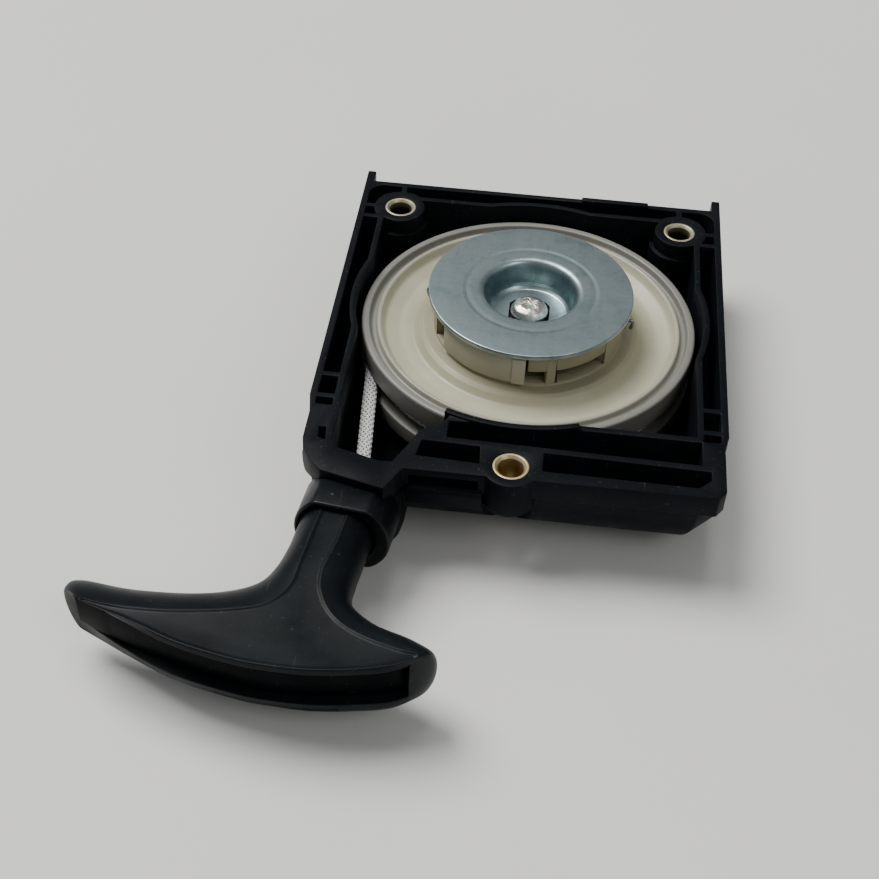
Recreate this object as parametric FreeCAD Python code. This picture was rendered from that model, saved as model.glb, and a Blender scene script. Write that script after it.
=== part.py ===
import FreeCAD, Part
import math
import os

# Recoil starter for a small two-stroke engine.
# Origin: the reel's axis where it meets the flat outer face of the case.
# +Z points out of the open side that bolts to the engine, -Y towards the rope outlet.
# All sizes are millimetres.

V = FreeCAD.Vector
UP = V(0, 0, 1)

# ---------------------------------------------------------------- driving dimensions
CASE_DEPTH = 24.0            # outer face to mounting plane
CASE_HALF_WIDTH = 44.05
CASE_HALF_WIDTH_FRONT = 43.2
CASE_BACK_Y = 44.2
CASE_FRONT_Y = -54.8
EAR_Y = 48.3
WALL = 1.6
INNER_WALL = 1.4
FLOOR = 2.2
RIM_SKIRT = 5.3              # height of the straight rim above the inset lower body
LOWER_INSET = 0.4
LOWER_FRONT_INSET = 1.2
LOWER_CORNER = 5.0
LOWER_EDGE = 8.0
LOWER_FRONT_ROUND = 18.5     # the front wall and its corners curve under the case in large rounds
LOWER_CORNER_REACH = 65.0    # from the centre to the lower body's front corners, along the diagonal
POCKET_DEPTH = 13.0
FRONT_POCKET_DEPTH = 9.0
CORNER_POCKET_DEPTH = 8.0

REEL_RADIUS = 38.05
REEL_TOP = -3.8              # heights below are measured from the mounting plane
REEL_BOTTOM = -18.0
GROOVE_TOP = -9.6
GROOVE_BOTTOM = -13.6
DRUM_RADIUS = 23.6
HUB_RADIUS = 21.5
HUB_INNER = 19.4
HUB_TOP = 3.35
HUB_FLOOR = -4.1
HUB_BASE = -4.7              # underside of the hub, on the reel's web
HUB_BORE = 11.0
# Openings in the hub's wall, each as degrees from a pawl's pivot and the heights it spans:
# the pawl's mouth, the small window at its tip, the long slot after it and the spring's notch.
HUB_WINDOWS = (
    (-12, 61, HUB_FLOOR, 9),
    (60, 72, HUB_FLOOR, -0.8),
    (78, 113, HUB_FLOOR, -0.8),
    (-42, -33, -1.4, 1.7),
)
SPRING_RECESS_RADIUS = 22.3
SPRING_RECESS_TOP = -12.2
BUSH_OUTER = 8.0
POST_RADIUS = 6.0
POST_FLATS = 9.0             # double-D end of the post, across flats
POST_END_RADIUS = 5.3
PLATE_FIT = 0.1              # gap between the post's end and the plate's hole
POST_SHOULDER = -4.2
POST_END = -1.9
RUNNING_GAP = 0.06

PLATE_RADIUS = 23.03
PLATE_TOP = 4.94
PLATE_GAUGE = 1.2
CUP_MOUTH_RADIUS = 10.36
CUP_FLOOR_RADIUS = 9.3
CUP_FLOOR_TOP = -1.7
SCREW_HEAD_RADIUS = 4.2
SCREW_RADIUS = 1.9

ROPE_DIAMETER = 3.2
ROPE_LEVEL = -11.6
ROPE_OUTER_TURN = 34.8       # radius of the outermost turn's centre line
ROPE_TURNS = 4
KNOT_RADIUS = 2.1
KNOT_AT_RADIUS = 19.4
KNOT_ANGLE = 100.0
KNOT_LEVEL = -9.9

COLLAR_RADIUS = 3.75
COLLAR_BORE = 2.7
BACK_COLLARS = ((-34.0, 34.0), (34.0, 34.0))
FRONT_COLLAR = (-0.2, -51.45)
BACK_COLLAR_LENGTH = 14.0
FRONT_COLLAR_LENGTH = 10.0
BOSS_RADIUS = 5.9
SCREW_HEAD_ACCESS = 4.9

GUIDE_POINT = (-33.2, -61.0)  # where the handle's axis leaves the outlet block
GUIDE_LEVEL = -10.0
GUIDE_YAW = 7.0               # degrees from -Y towards -X
GUIDE_RADIUS = 10.0           # the sleeve is a cylinder flattened above and below
GUIDE_HALF_HEIGHT = 8.3
GUIDE_OFFSET = -1.2           # the sleeve is thicker on the side towards the case
GUIDE_START = -4.0
GUIDE_LENGTH = 5.0
GUIDE_BORE = 8.1
GUIDE_BORE_HALF_HEIGHT = 7.35
GUIDE_PLUG_RADIUS = 4.6
GUIDE_PLUG_START = -6.0
ROPE_EYE = 2.4

NECK_RADIUS = 7.6
HANDLE_HALF_HEIGHT = 7.0
PAWL_PIVOT_RADIUS = 17.6
PAWL_PIVOT_ANGLES = (212.0, 32.0)
PAWL_PIN_RADIUS = 1.6
PAWL_SWEEP = 59.5             # degrees of the hub's circle from a pawl's pivot to its tip


# ---------------------------------------------------------------- helpers
def at_height(offset):
    """Height above the outer face of a level measured from the mounting plane."""
    return CASE_DEPTH + offset


def polar(radius, degrees, z=0.0):
    angle = math.radians(degrees)
    return V(radius * math.cos(angle), radius * math.sin(angle), z)


def cylinder(radius, low, high, x=0.0, y=0.0):
    return Part.makeCylinder(radius, high - low, V(x, y, low))


def ring(outer, inner, low, high, x=0.0, y=0.0):
    return cylinder(outer, low, high, x, y).cut(cylinder(inner, low - 1, high + 1, x, y))


def box(low, high):
    return Part.makeBox(high[0] - low[0], high[1] - low[1], high[2] - low[2], V(*low))


def prism(points, low, high):
    corners = [V(x, y, low) for x, y in points]
    face = Part.Face(Part.makePolygon(corners + corners[:1]))
    return face.extrude(V(0, 0, high - low))


def revolve(profile):
    """Solid of revolution about Z from (radius, height) points."""
    corners = [V(r, 0, z) for r, z in profile]
    face = Part.Face(Part.makePolygon(corners + corners[:1]))
    return face.revolve(V(0, 0, 0), UP, 360)


def sector(outer, inner, start, end, low, high):
    """Part of a ring between two angles in degrees."""
    outer_mid = polar(outer, (start + end) / 2, low)
    inner_mid = polar(inner, (start + end) / 2, low)
    edges = [
        Part.Arc(polar(outer, start, low), outer_mid, polar(outer, end, low)).toShape(),
        Part.LineSegment(polar(outer, end, low), polar(inner, end, low)).toShape(),
        Part.Arc(polar(inner, end, low), inner_mid, polar(inner, start, low)).toShape(),
        Part.LineSegment(polar(inner, start, low), polar(outer, start, low)).toShape(),
    ]
    return Part.Face(Part.Wire(edges)).extrude(V(0, 0, high - low))


def rod(start, end, radius):
    return Part.makeCylinder(radius, (end - start).Length, start, end - start)


def upright_edges(shape):
    return [e for e in shape.Edges if abs(e.Vertexes[0].Z - e.Vertexes[-1].Z) > 1]


def fuse_all(shapes):
    return shapes[0].multiFuse(shapes[1:]).removeSplitter()


def handle_frame(shape):
    """Moves a shape from the handle's own frame (X across, Y outwards, Z up) into place."""
    placed = shape.copy()
    placed.rotate(V(0, 0, 0), UP, 180 - GUIDE_YAW)
    placed.translate(V(GUIDE_POINT[0], GUIDE_POINT[1], at_height(GUIDE_LEVEL)))
    return placed


def along_handle(radius, start, end):
    """Cylinder on the handle's axis, in the handle's own frame."""
    return Part.makeCylinder(radius, end - start, V(0, start, 0), V(0, 1, 0))


def save(name, shape):
    solids = shape.Solids
    result = solids[0] if len(solids) == 1 else Part.makeCompound(solids)
    result.exportStep("parts/" + name + ".step")
    state = "ok" if shape.isValid() else "INVALID"
    print(name, len(solids), "solids", round(result.Volume, 1), "mm3", state)


# ---------------------------------------------------------------- case
RIM_OUTLINE = (
    (CASE_HALF_WIDTH, EAR_Y),
    (CASE_HALF_WIDTH, -36.5),
    (CASE_HALF_WIDTH_FRONT, -40.5),
    (CASE_HALF_WIDTH_FRONT, -52.6),
    (41.6, CASE_FRONT_Y),
    (-21.7, CASE_FRONT_Y - 0.3),
    (-24.8, -61.4),
    (-38.2, -57.9),
    (-40.2, -55.6),
    (-42.6, -52.0),
    (-43.2, -48.8),
    (-43.2, -41.0),
    (-CASE_HALF_WIDTH, -35.8),
    (-CASE_HALF_WIDTH, EAR_Y),
)
EAR_GAP = 42.05              # the ears are the side walls running on past the back wall
OUTLET_OUTLINE = (
    (-21.7, -52.0),
    (-22.3, -55.3),
    (-25.2, -61.0),
    (-36.5, -58.1),
    (-39.5, -53.0),
    (-42.0, -47.5),
    (-42.6, -36.0),
    (-21.7, -36.0),
)
ROPE_CHAMBER = (
    (-37.4, -16.0),
    (-37.0, -48.6),
    (-35.6, -51.0),
    (-31.0, -52.3),
    (-26.7, -53.6),
    (-24.2, -53.5),
    (-21.3, -47.4),
    (-19.6, -43.2),
    (-15.6, -41.4),
    (-12.0, -34.0),
)
LEFT_POCKET = ((-18.9, -46.3), (-19.6, -50.9), (-6.6, -51.5), (-6.9, -46.6))
RIGHT_POCKET = ((6.2, -46.7), (6.2, -51.9), (37.6, -52.2), (40.2, -49.8), (40.2, -47.3))
CHANNEL = ((-14.0, -40.0), (-14.0, -44.8), (38.4, -45.7), (38.4, -39.0), (14.0, -39.0))
CORNER_POCKET = ((-40.4, -45.4), (-40.0, -48.6), (-38.6, -49.0), (-38.9, -45.4))
SIDE_RIBS = (29.6, -29.0, -35.8)
RIB_HALF = 0.67
CAVITY_HALF = 37.5
CAVITY_RADIUS = 39.4


def cavity_block(grow, low, high):
    """The reel's chamber: a square with the reel's circle bulging through its sides."""
    half = CAVITY_HALF + grow
    square = box((-half, -half, low), (half, half, high))
    return square.fuse(cylinder(CAVITY_RADIUS + grow, low, high))


def lower_body():
    half = CASE_HALF_WIDTH - LOWER_INSET
    front = CASE_FRONT_Y + LOWER_FRONT_INSET
    high = at_height(-RIM_SKIRT + 0.1)
    body = box((-half, front, 0), (half, CASE_BACK_Y - LOWER_INSET, high))
    body = body.makeFillet(LOWER_CORNER, upright_edges(body))
    bottom = [e for e in body.Edges if e.BoundBox.ZMax < 0.01]
    body = body.makeFillet(LOWER_EDGE, bottom).common(front_round(front, high + 1))
    for turn in (-45, 45):
        corner = front_round(-LOWER_CORNER_REACH, high + 1)
        corner.rotate(V(0, 0, 0), UP, turn)
        body = body.common(corner)
    return body


def front_round(front, high):
    """Block larger than the case whose lower front edge is one large quarter round."""
    radius = LOWER_FRONT_ROUND
    half = 2 * CASE_HALF_WIDTH
    back = 2 * CASE_BACK_Y
    lean = radius * math.sqrt(0.5)
    corners = [
        V(-half, front, radius),
        V(-half, front + radius - lean, radius - lean),
        V(-half, front + radius, 0),
        V(-half, back, 0),
        V(-half, back, high),
        V(-half, front, high),
    ]
    edges = [Part.Arc(corners[0], corners[1], corners[2]).toShape()]
    for start, end in zip(corners[2:], corners[3:] + corners[:1]):
        edges.append(Part.LineSegment(start, end).toShape())
    return Part.Face(Part.Wire(edges)).extrude(V(2 * half, 0, 0))


def outlet_block():
    block = prism(OUTLET_OUTLINE, at_height(-21.4), at_height(-1.0))
    bottom = [e for e in block.Edges if e.BoundBox.ZMax < at_height(-21.3) and e.BoundBox.YMax < -37]
    return block.makeFillet(2.5, bottom)


def side_slots():
    """Narrow slots between the chamber's wall and the outer wall, crossed by ribs."""
    low = at_height(-POCKET_DEPTH)
    high = at_height(1)
    inside = CASE_HALF_WIDTH - WALL
    slots = box((-inside, -38.6, low), (inside, CASE_BACK_Y - WALL, high))
    corners = [e for e in upright_edges(slots) if e.BoundBox.YMin > 0]
    slots = slots.makeFillet(LOWER_CORNER - WALL + LOWER_INSET, corners)
    slots = slots.cut(cavity_block(INNER_WALL, low - 1, high + 1))
    for x, y in BACK_COLLARS:
        slots = slots.cut(cylinder(BOSS_RADIUS + 0.6, low - 1, high + 1, x, y))
        back_web = box((x - RIB_HALF, y, low - 1), (x + RIB_HALF, CASE_BACK_Y, high + 1))
        outer = math.copysign(CASE_HALF_WIDTH, x)
        side_web = box((min(x, outer), y - RIB_HALF, low - 1), (max(x, outer), y + RIB_HALF, high + 1))
        slots = slots.cut(back_web).cut(side_web)
    for y in SIDE_RIBS:
        rib = box((-CASE_HALF_WIDTH, y - RIB_HALF, low - 1), (CASE_HALF_WIDTH, y + RIB_HALF, high + 1))
        slots = slots.cut(rib)
    return slots


def front_pockets():
    low = at_height(-POCKET_DEPTH)
    high = at_height(1)
    channel = prism(CHANNEL, low, high).cut(cylinder(CAVITY_RADIUS + INNER_WALL, low, high))
    pockets = [channel]
    for outline in (LEFT_POCKET, RIGHT_POCKET):
        pockets.append(prism(outline, at_height(-FRONT_POCKET_DEPTH), high))
    pockets.append(prism(CORNER_POCKET, at_height(-CORNER_POCKET_DEPTH), high))
    return pockets


def front_boss():
    x, y = FRONT_COLLAR
    boss = cylinder(BOSS_RADIUS, at_height(-FRONT_COLLAR_LENGTH), at_height(0), x, y)
    low_rim = [e for e in boss.Edges if e.BoundBox.ZMax < at_height(-FRONT_COLLAR_LENGTH) + 0.1]
    return boss.makeFillet(2.0, low_rim)


def rope_guard(x):
    """Low curved rib that keeps the rope on the reel beside a back boss."""
    start, end = (33.0, 52.0) if x > 0 else (128.0, 147.0)
    return sector(41.4, CAVITY_RADIUS, start, end, FLOOR, at_height(-7.5))


def post():
    shaft = cylinder(POST_RADIUS, FLOOR - 0.5, at_height(POST_SHOULDER))
    end = cylinder(POST_END_RADIUS, at_height(POST_SHOULDER) - 0.5, at_height(POST_END))
    half = POST_FLATS / 2
    flats = box((-half, -10, 0), (half, 10, at_height(POST_END)))
    foot = Part.makeCone(8.2, POST_RADIUS, 1.6, V(0, 0, FLOOR))
    return shaft.fuse(end.common(flats)).fuse(foot)


def starter_case():
    rim = prism(RIM_OUTLINE, at_height(-RIM_SKIRT), at_height(0))
    behind = box((-EAR_GAP, CASE_BACK_Y, 0), (EAR_GAP, EAR_Y + 1, at_height(1)))
    rim = rim.cut(behind)
    case = fuse_all([rim, lower_body(), outlet_block(), front_boss()])
    case = case.cut(cavity_block(0, FLOOR, at_height(1)))
    case = case.cut(prism(ROPE_CHAMBER, at_height(-16.0), at_height(1)))
    case = case.cut(side_slots())
    for pocket in front_pockets():
        case = case.cut(pocket)
    left_groove = box((-20.6, CASE_FRONT_Y - 1, at_height(-4.6)), (-6.6, CASE_FRONT_Y + 1.7, at_height(-1.9)))
    case = case.cut(left_groove)
    additions = [post(), front_wall_crest(), left_ledge(), back_lip()]
    for x, y in BACK_COLLARS:
        additions.append(cylinder(BOSS_RADIUS, FLOOR - 0.5, at_height(0), x, y))
        additions.append(rope_guard(x))
    case = fuse_all([case] + additions)
    return screw_holes(case)


def front_wall_crest():
    """The chamber's front arc stands a little above the mounting plane."""
    return sector(CAVITY_RADIUS + INNER_WALL, CAVITY_RADIUS, 248.0, 289.0, at_height(-8), at_height(0.5))


def left_ledge():
    ledge = box((-21.0, -56.2, at_height(-9.4)), (-5.4, -52.4, at_height(-4.6)))
    outer = [e for e in ledge.Edges if e.BoundBox.YMax < -56.1 and e.BoundBox.XLength > 5]
    return ledge.makeFillet(1.2, outer)


def back_lip():
    return box((10.0, CASE_BACK_Y - WALL, at_height(-3)), (26.3, CASE_BACK_Y, at_height(0.6)))


def screw_holes(case):
    for x, y in BACK_COLLARS:
        case = case.cut(cylinder(COLLAR_RADIUS, at_height(-BACK_COLLAR_LENGTH), at_height(2), x, y))
        case = case.cut(cylinder(SCREW_HEAD_ACCESS, -1, at_height(-BACK_COLLAR_LENGTH), x, y))
    x, y = FRONT_COLLAR
    case = case.cut(cylinder(COLLAR_RADIUS, at_height(-FRONT_COLLAR_LENGTH), at_height(2), x, y))
    case = case.cut(cylinder(SCREW_HEAD_ACCESS, -1, at_height(-FRONT_COLLAR_LENGTH), x, y))
    case = case.cut(cylinder(SCREW_RADIUS, at_height(-18), at_height(2)))
    guide_seat = along_handle(GUIDE_PLUG_RADIUS, GUIDE_PLUG_START, 6.0)
    rope_hole = along_handle(ROPE_EYE + 1.4, -20.0, 0.0)
    case = case.cut(handle_frame(guide_seat))
    return case.cut(handle_frame(rope_hole))


def mount_collar(x, y, length):
    collar = ring(COLLAR_RADIUS, COLLAR_BORE, at_height(-length), at_height(0), x, y)
    mouth = Part.makeCone(COLLAR_BORE, COLLAR_BORE + 0.4, 0.4, V(x, y, at_height(-0.4)))
    return collar.cut(mouth)


def flattened(radius, start, end, half_height, offset=0.0):
    """Cylinder on the handle's axis with its top and bottom cut flat."""
    slab = box((-2 * radius, start - 1, -half_height), (2 * radius, end + 1, half_height))
    shape = along_handle(radius, start, end).common(slab)
    shape.translate(V(offset, 0, 0))
    return shape


def rope_guide():
    """Moulded socket: a plug in the outlet block, a rope eye and a sleeve for the handle's neck."""
    plug = along_handle(GUIDE_PLUG_RADIUS, GUIDE_PLUG_START, 1.0)
    sleeve = flattened(GUIDE_RADIUS, GUIDE_START, GUIDE_LENGTH, GUIDE_HALF_HEIGHT, GUIDE_OFFSET)
    ridges = [e for e in sleeve.Edges if e.BoundBox.YLength > GUIDE_LENGTH]
    sleeve = sleeve.makeFillet(2.4, ridges)
    lip = [e for e in sleeve.Edges if e.BoundBox.YMin > GUIDE_LENGTH - 0.1]
    sleeve = sleeve.makeFillet(0.6, lip)
    sleeve = handle_frame(sleeve).cut(block_front()).cut(rim_block())
    bore = flattened(GUIDE_BORE, 1.6, GUIDE_LENGTH + 1, GUIDE_BORE_HALF_HEIGHT)
    eye = along_handle(ROPE_EYE, -20, 5)
    flare = Part.makeCone(ROPE_EYE + 1.4, ROPE_EYE, 1.6, V(0, GUIDE_PLUG_START, 0), V(0, 1, 0))
    body = sleeve.fuse(handle_frame(plug))
    for hollow in (bore, eye, flare):
        body = body.cut(handle_frame(hollow))
    return body.removeSplitter()


def block_front():
    """The space that the outlet block fills behind the sleeve."""
    return prism(OUTLET_OUTLINE, at_height(-30.0), at_height(2))


def rim_block():
    return prism(RIM_OUTLINE, at_height(-RIM_SKIRT), at_height(2))


# ---------------------------------------------------------------- reel and what rides on it
def reel():
    t = at_height
    profile = (
        (BUSH_OUTER, t(REEL_BOTTOM - 1.8)),
        (9.6, t(REEL_BOTTOM - 1.8)),
        (9.6, t(SPRING_RECESS_TOP)),
        (SPRING_RECESS_RADIUS, t(SPRING_RECESS_TOP)),
        (SPRING_RECESS_RADIUS, t(REEL_BOTTOM)),
        (REEL_RADIUS - 0.4, t(REEL_BOTTOM)),
        (REEL_RADIUS, t(REEL_BOTTOM + 0.5)),
        (REEL_RADIUS, t(GROOVE_BOTTOM - 0.5)),
        (REEL_RADIUS - 1.0, t(GROOVE_BOTTOM)),
        (DRUM_RADIUS, t(GROOVE_BOTTOM)),
        (DRUM_RADIUS, t(GROOVE_TOP)),
        (REEL_RADIUS - 1.0, t(GROOVE_TOP)),
        (REEL_RADIUS, t(GROOVE_TOP + 0.5)),
        (REEL_RADIUS, t(REEL_TOP - 0.4)),
        (REEL_RADIUS - 0.4, t(REEL_TOP)),
        (36.2, t(REEL_TOP)),
        (35.9, t(REEL_TOP - 1.0)),
        (34.9, t(REEL_TOP - 1.0)),
        (34.6, t(REEL_TOP - 0.3)),
        (33.6, t(REEL_TOP - 0.3)),
        (32.6, t(REEL_TOP - 1.7)),
        (29.5, t(REEL_TOP - 3.0)),
        (26.2, t(REEL_TOP - 3.1)),
        (25.2, t(REEL_TOP - 2.2)),
        (24.2, t(REEL_TOP - 1.4)),
        (22.6, t(REEL_TOP - 1.0)),
        (HUB_RADIUS, t(HUB_BASE)),
        (BUSH_OUTER, t(HUB_BASE)),
    )
    body = revolve(profile)
    knot = polar(KNOT_AT_RADIUS, KNOT_ANGLE)
    pocket_top = t(KNOT_LEVEL + KNOT_RADIUS + 0.2)
    return body.cut(cylinder(KNOT_RADIUS + 0.1, t(SPRING_RECESS_TOP - 1), pocket_top, knot.x, knot.y))


def reel_hub():
    """Raised hub on the reel: a thin floor, a windowed wall and a pivot pin for each pawl."""
    t = at_height
    profile = (
        (HUB_BORE, t(HUB_BASE)),
        (HUB_RADIUS, t(HUB_BASE)),
        (HUB_RADIUS, t(HUB_TOP)),
        (HUB_INNER, t(HUB_TOP)),
        (HUB_INNER, t(HUB_FLOOR)),
        (HUB_BORE, t(HUB_FLOOR)),
    )
    body = revolve(profile)
    for angle in PAWL_PIVOT_ANGLES:
        for start, end, low, high in HUB_WINDOWS:
            window = sector(HUB_RADIUS + 1, HUB_INNER - 1, angle + start, angle + end, t(low), t(high))
            body = body.cut(window)
        pivot = polar(PAWL_PIVOT_RADIUS, angle)
        pin = cylinder(PAWL_PIN_RADIUS, t(HUB_BASE), t(HUB_TOP - 0.25), pivot.x, pivot.y)
        body = body.fuse(pin)
    return body.removeSplitter()


def reel_bush():
    return ring(BUSH_OUTER, POST_RADIUS + RUNNING_GAP, at_height(REEL_BOTTOM - 1.8), at_height(HUB_BASE))


def rope_winding():
    half = ROPE_DIAMETER / 2
    inner = ROPE_OUTER_TURN - (ROPE_TURNS - 1) * ROPE_DIAMETER - half
    return ring(ROPE_OUTER_TURN + half, inner, at_height(ROPE_LEVEL) - half, at_height(ROPE_LEVEL) + half)


def pawl(pivot_angle):
    """Swinging pawl: an eye on its pivot and a curved arm ending in a square driving tip."""
    low = at_height(HUB_FLOOR + 0.35)
    high = at_height(HUB_TOP - 0.15)
    arm = sector(HUB_RADIUS + 0.7, 17.4, pivot_angle + 3, pivot_angle + PAWL_SWEEP, low, high)
    tip = sector(HUB_RADIUS + 1.1, 15.6, pivot_angle + PAWL_SWEEP - 7.5, pivot_angle + PAWL_SWEEP, low, high)
    pivot = polar(PAWL_PIVOT_RADIUS, pivot_angle)
    eye = cylinder(3.2, low, high, pivot.x, pivot.y)
    bore = cylinder(PAWL_PIN_RADIUS + RUNNING_GAP, low - 1, high + 1, pivot.x, pivot.y)
    body = fuse_all([arm, tip, eye]).cut(bore)
    seat = cylinder(4.4, at_height(0.9), high + 1, pivot.x, pivot.y)
    boss = cylinder(2.3, low, high, pivot.x, pivot.y).cut(bore)
    return body.cut(seat).fuse(boss).removeSplitter()


def pawl_spring(pivot_angle):
    """Torsion spring round a pawl's eye, with a tail hooked out through the hub's slot."""
    wire = 0.4
    pivot = polar(PAWL_PIVOT_RADIUS, pivot_angle)
    turns = []
    for step in range(3):
        centre = V(pivot.x, pivot.y, at_height(1.35 + 1.75 * wire * step))
        turns.append(Part.makeTorus(2.95, wire, centre))
    end = polar(HUB_RADIUS + 1.7, pivot_angle - 38, at_height(0.6))
    inside = polar(HUB_INNER - 1.2, pivot_angle - 36, at_height(0.6))
    side = V(-math.sin(math.radians(pivot_angle)), math.cos(math.radians(pivot_angle)), 0)
    start = V(pivot.x, pivot.y, at_height(1.35)) - side * 2.95
    tail = [rod(start, inside, wire), Part.makeSphere(wire, inside), rod(inside, end, wire)]
    hook_end = end + V(0, 0, -2.2)
    tail += [Part.makeSphere(wire, end), rod(end, hook_end, wire)]
    return fuse_all(turns + tail)


def reel_rope_knot():
    """The rope's knotted inner end, in a pocket in the reel's web."""
    return Part.makeSphere(KNOT_RADIUS, polar(KNOT_AT_RADIUS, KNOT_ANGLE, at_height(KNOT_LEVEL)))


# ---------------------------------------------------------------- pieces fixed to the post
def friction_plate():
    t = at_height
    gauge = PLATE_GAUGE
    profile = (
        (3.0, t(CUP_FLOOR_TOP - gauge)),
        (CUP_FLOOR_RADIUS + 0.9, t(CUP_FLOOR_TOP - gauge)),
        (CUP_FLOOR_RADIUS + gauge, t(CUP_FLOOR_TOP - gauge + 0.3)),
        (CUP_MOUTH_RADIUS + gauge, t(PLATE_TOP - gauge - 0.8)),
        (CUP_MOUTH_RADIUS + gauge + 0.8, t(PLATE_TOP - gauge)),
        (PLATE_RADIUS - 0.2, t(PLATE_TOP - gauge)),
        (PLATE_RADIUS, t(PLATE_TOP - gauge + 0.3)),
        (PLATE_RADIUS, t(PLATE_TOP - 0.3)),
        (PLATE_RADIUS - 0.3, t(PLATE_TOP)),
        (CUP_MOUTH_RADIUS + 0.9, t(PLATE_TOP)),
        (CUP_MOUTH_RADIUS, t(PLATE_TOP - 0.8)),
        (CUP_FLOOR_RADIUS, t(CUP_FLOOR_TOP + 0.6)),
        (CUP_FLOOR_RADIUS - 0.6, t(CUP_FLOOR_TOP)),
        (3.0, t(CUP_FLOOR_TOP)),
    )
    plate = revolve(profile)
    half = POST_FLATS / 2 + PLATE_FIT
    hole = cylinder(POST_END_RADIUS + PLATE_FIT, t(-6), t(0)).common(box((-half, -6, t(-6)), (half, 6, t(0))))
    return plate.cut(hole)


def thrust_washer():
    high = at_height(CUP_FLOOR_TOP - PLATE_GAUGE)
    return ring(10.2, POST_END_RADIUS + PLATE_FIT, at_height(POST_SHOULDER), high)


def friction_spring():
    """Wire clip that grips the plate's cup and drags on the pawls."""
    wire = 0.5
    radius = CUP_MOUTH_RADIUS + PLATE_GAUGE + wire + 0.05
    level = at_height(0.4)
    hoop = Part.makeTorus(radius, wire, V(0, 0, level), UP)
    gap = sector(radius + 2, radius - 2, 118, 136, level - 2, level + 2)
    return hoop.cut(gap)


def centre_screw():
    t = at_height
    shank = cylinder(SCREW_RADIUS - 0.03, t(-16.0), t(CUP_FLOOR_TOP) + 0.2)
    profile = (
        (0, t(CUP_FLOOR_TOP)),
        (SCREW_HEAD_RADIUS, t(CUP_FLOOR_TOP)),
        (SCREW_HEAD_RADIUS, t(CUP_FLOOR_TOP + 1.1)),
        (SCREW_HEAD_RADIUS - 0.5, t(CUP_FLOOR_TOP + 2.0)),
        (SCREW_HEAD_RADIUS - 1.7, t(CUP_FLOOR_TOP + 2.6)),
        (0, t(CUP_FLOOR_TOP + 2.8)),
    )
    head = revolve(profile)
    for width, length in ((1.1, 5.0), (5.0, 1.1)):
        slot = box((-width / 2, -length / 2, t(CUP_FLOOR_TOP + 1.1)), (width / 2, length / 2, t(2)))
        head = head.cut(slot)
    return head.fuse(shank)


# ---------------------------------------------------------------- recoil spring and its cassette
CASSETTE_RADIUS = 21.6
CASSETTE_GAUGE = 0.7


def spring_cassette():
    low = FLOOR
    high = at_height(SPRING_RECESS_TOP - 0.6)
    cup = cylinder(CASSETTE_RADIUS, low, high)
    cup = cup.cut(cylinder(CASSETTE_RADIUS - CASSETTE_GAUGE, low + CASSETTE_GAUGE, high + 1))
    return cup.cut(cylinder(8.6, low - 1, high + 1))


def spiral_edge(inner, pitch, turns, z, shift):
    points = []
    steps = int(turns * 16)
    for step in range(steps + 1):
        turn = step / 16
        points.append(polar(inner + pitch * turn + shift, 360 * turn, z))
    curve = Part.BSplineCurve()
    curve.interpolate(points)
    return curve.toShape()


def recoil_spring():
    low = FLOOR + CASSETTE_GAUGE + 0.3
    high = at_height(SPRING_RECESS_TOP - 1.0)
    thickness = 0.5
    inside = spiral_edge(10.2, 1.25, 8, low, 0)
    outside = spiral_edge(10.2, 1.25, 8, low, thickness)
    ends = []
    for index in (0, -1):
        near = inside.Vertexes[index].Point
        far = outside.Vertexes[index].Point
        ends.append(Part.LineSegment(near, far).toShape())
    outline = Part.Wire(Part.__sortEdges__([inside, outside] + ends))
    return Part.Face(outline).extrude(V(0, 0, high - low))


# ---------------------------------------------------------------- handle
# Outlines in the handle's own frame: X to the handle's left seen from outside, Y outwards.
TOP_REAR_SHORT = ((-2.7, 16.0), (-3.0, 24.0), (-6.0, 28.8), (-15.5, 33.4), (-24.6, 34.6))
TOP_FRONT = ((-25.0, 35.4), (-20.5, 38.6), (0.0, 44.2), (20.0, 43.2), (39.4, 38.9))
TOP_REAR_LONG = ((39.4, 38.0), (26.0, 37.2), (11.0, 33.4), (3.6, 27.0), (2.7, 16.0))
MID_REAR_SHORT = ((-7.6, 16.0), (-8.2, 21.5), (-11.5, 25.6), (-19.0, 27.6), (-27.4, 30.0))
MID_FRONT = ((-27.8, 32.4), (-21.8, 38.8), (0.0, 44.6), (21.0, 43.4), (46.0, 33.4))
MID_REAR_LONG = ((45.4, 30.4), (32.0, 30.0), (17.0, 26.4), (9.2, 21.4), (7.6, 16.0))
LOW_REAR_SHORT = ((-5.4, 16.0), (-6.0, 22.6), (-9.4, 27.4), (-17.0, 30.2), (-25.0, 32.4))
LOW_FRONT = ((-25.4, 33.2), (-20.4, 38.0), (0.0, 43.2), (20.0, 42.2), (43.6, 34.6))
LOW_REAR_LONG = ((43.2, 32.4), (30.0, 32.2), (14.5, 28.8), (7.2, 22.6), (5.4, 16.0))
HANDLE_LEVELS = (
    (TOP_REAR_SHORT, TOP_FRONT, TOP_REAR_LONG, HANDLE_HALF_HEIGHT),
    (MID_REAR_SHORT, MID_FRONT, MID_REAR_LONG, 0.0),
    (LOW_REAR_SHORT, LOW_FRONT, LOW_REAR_LONG, -HANDLE_HALF_HEIGHT),
)
CAP_FRONT = ((-23.4, 36.3), (-19.8, 38.9), (0.0, 44.2), (20.0, 43.0), (37.6, 38.6))
CAP_LOW = -3.9
CAP_HIGH = 5.6
CAP_THICKNESS = 1.6
CAP_INSET = 0.7
KNOT_CHAMBER = 5.6
KNOT_SEAT = 30.0


def smooth(points, z):
    curve = Part.BSplineCurve()
    curve.interpolate([V(x, y, z) for x, y in points])
    return curve.toShape()


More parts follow.
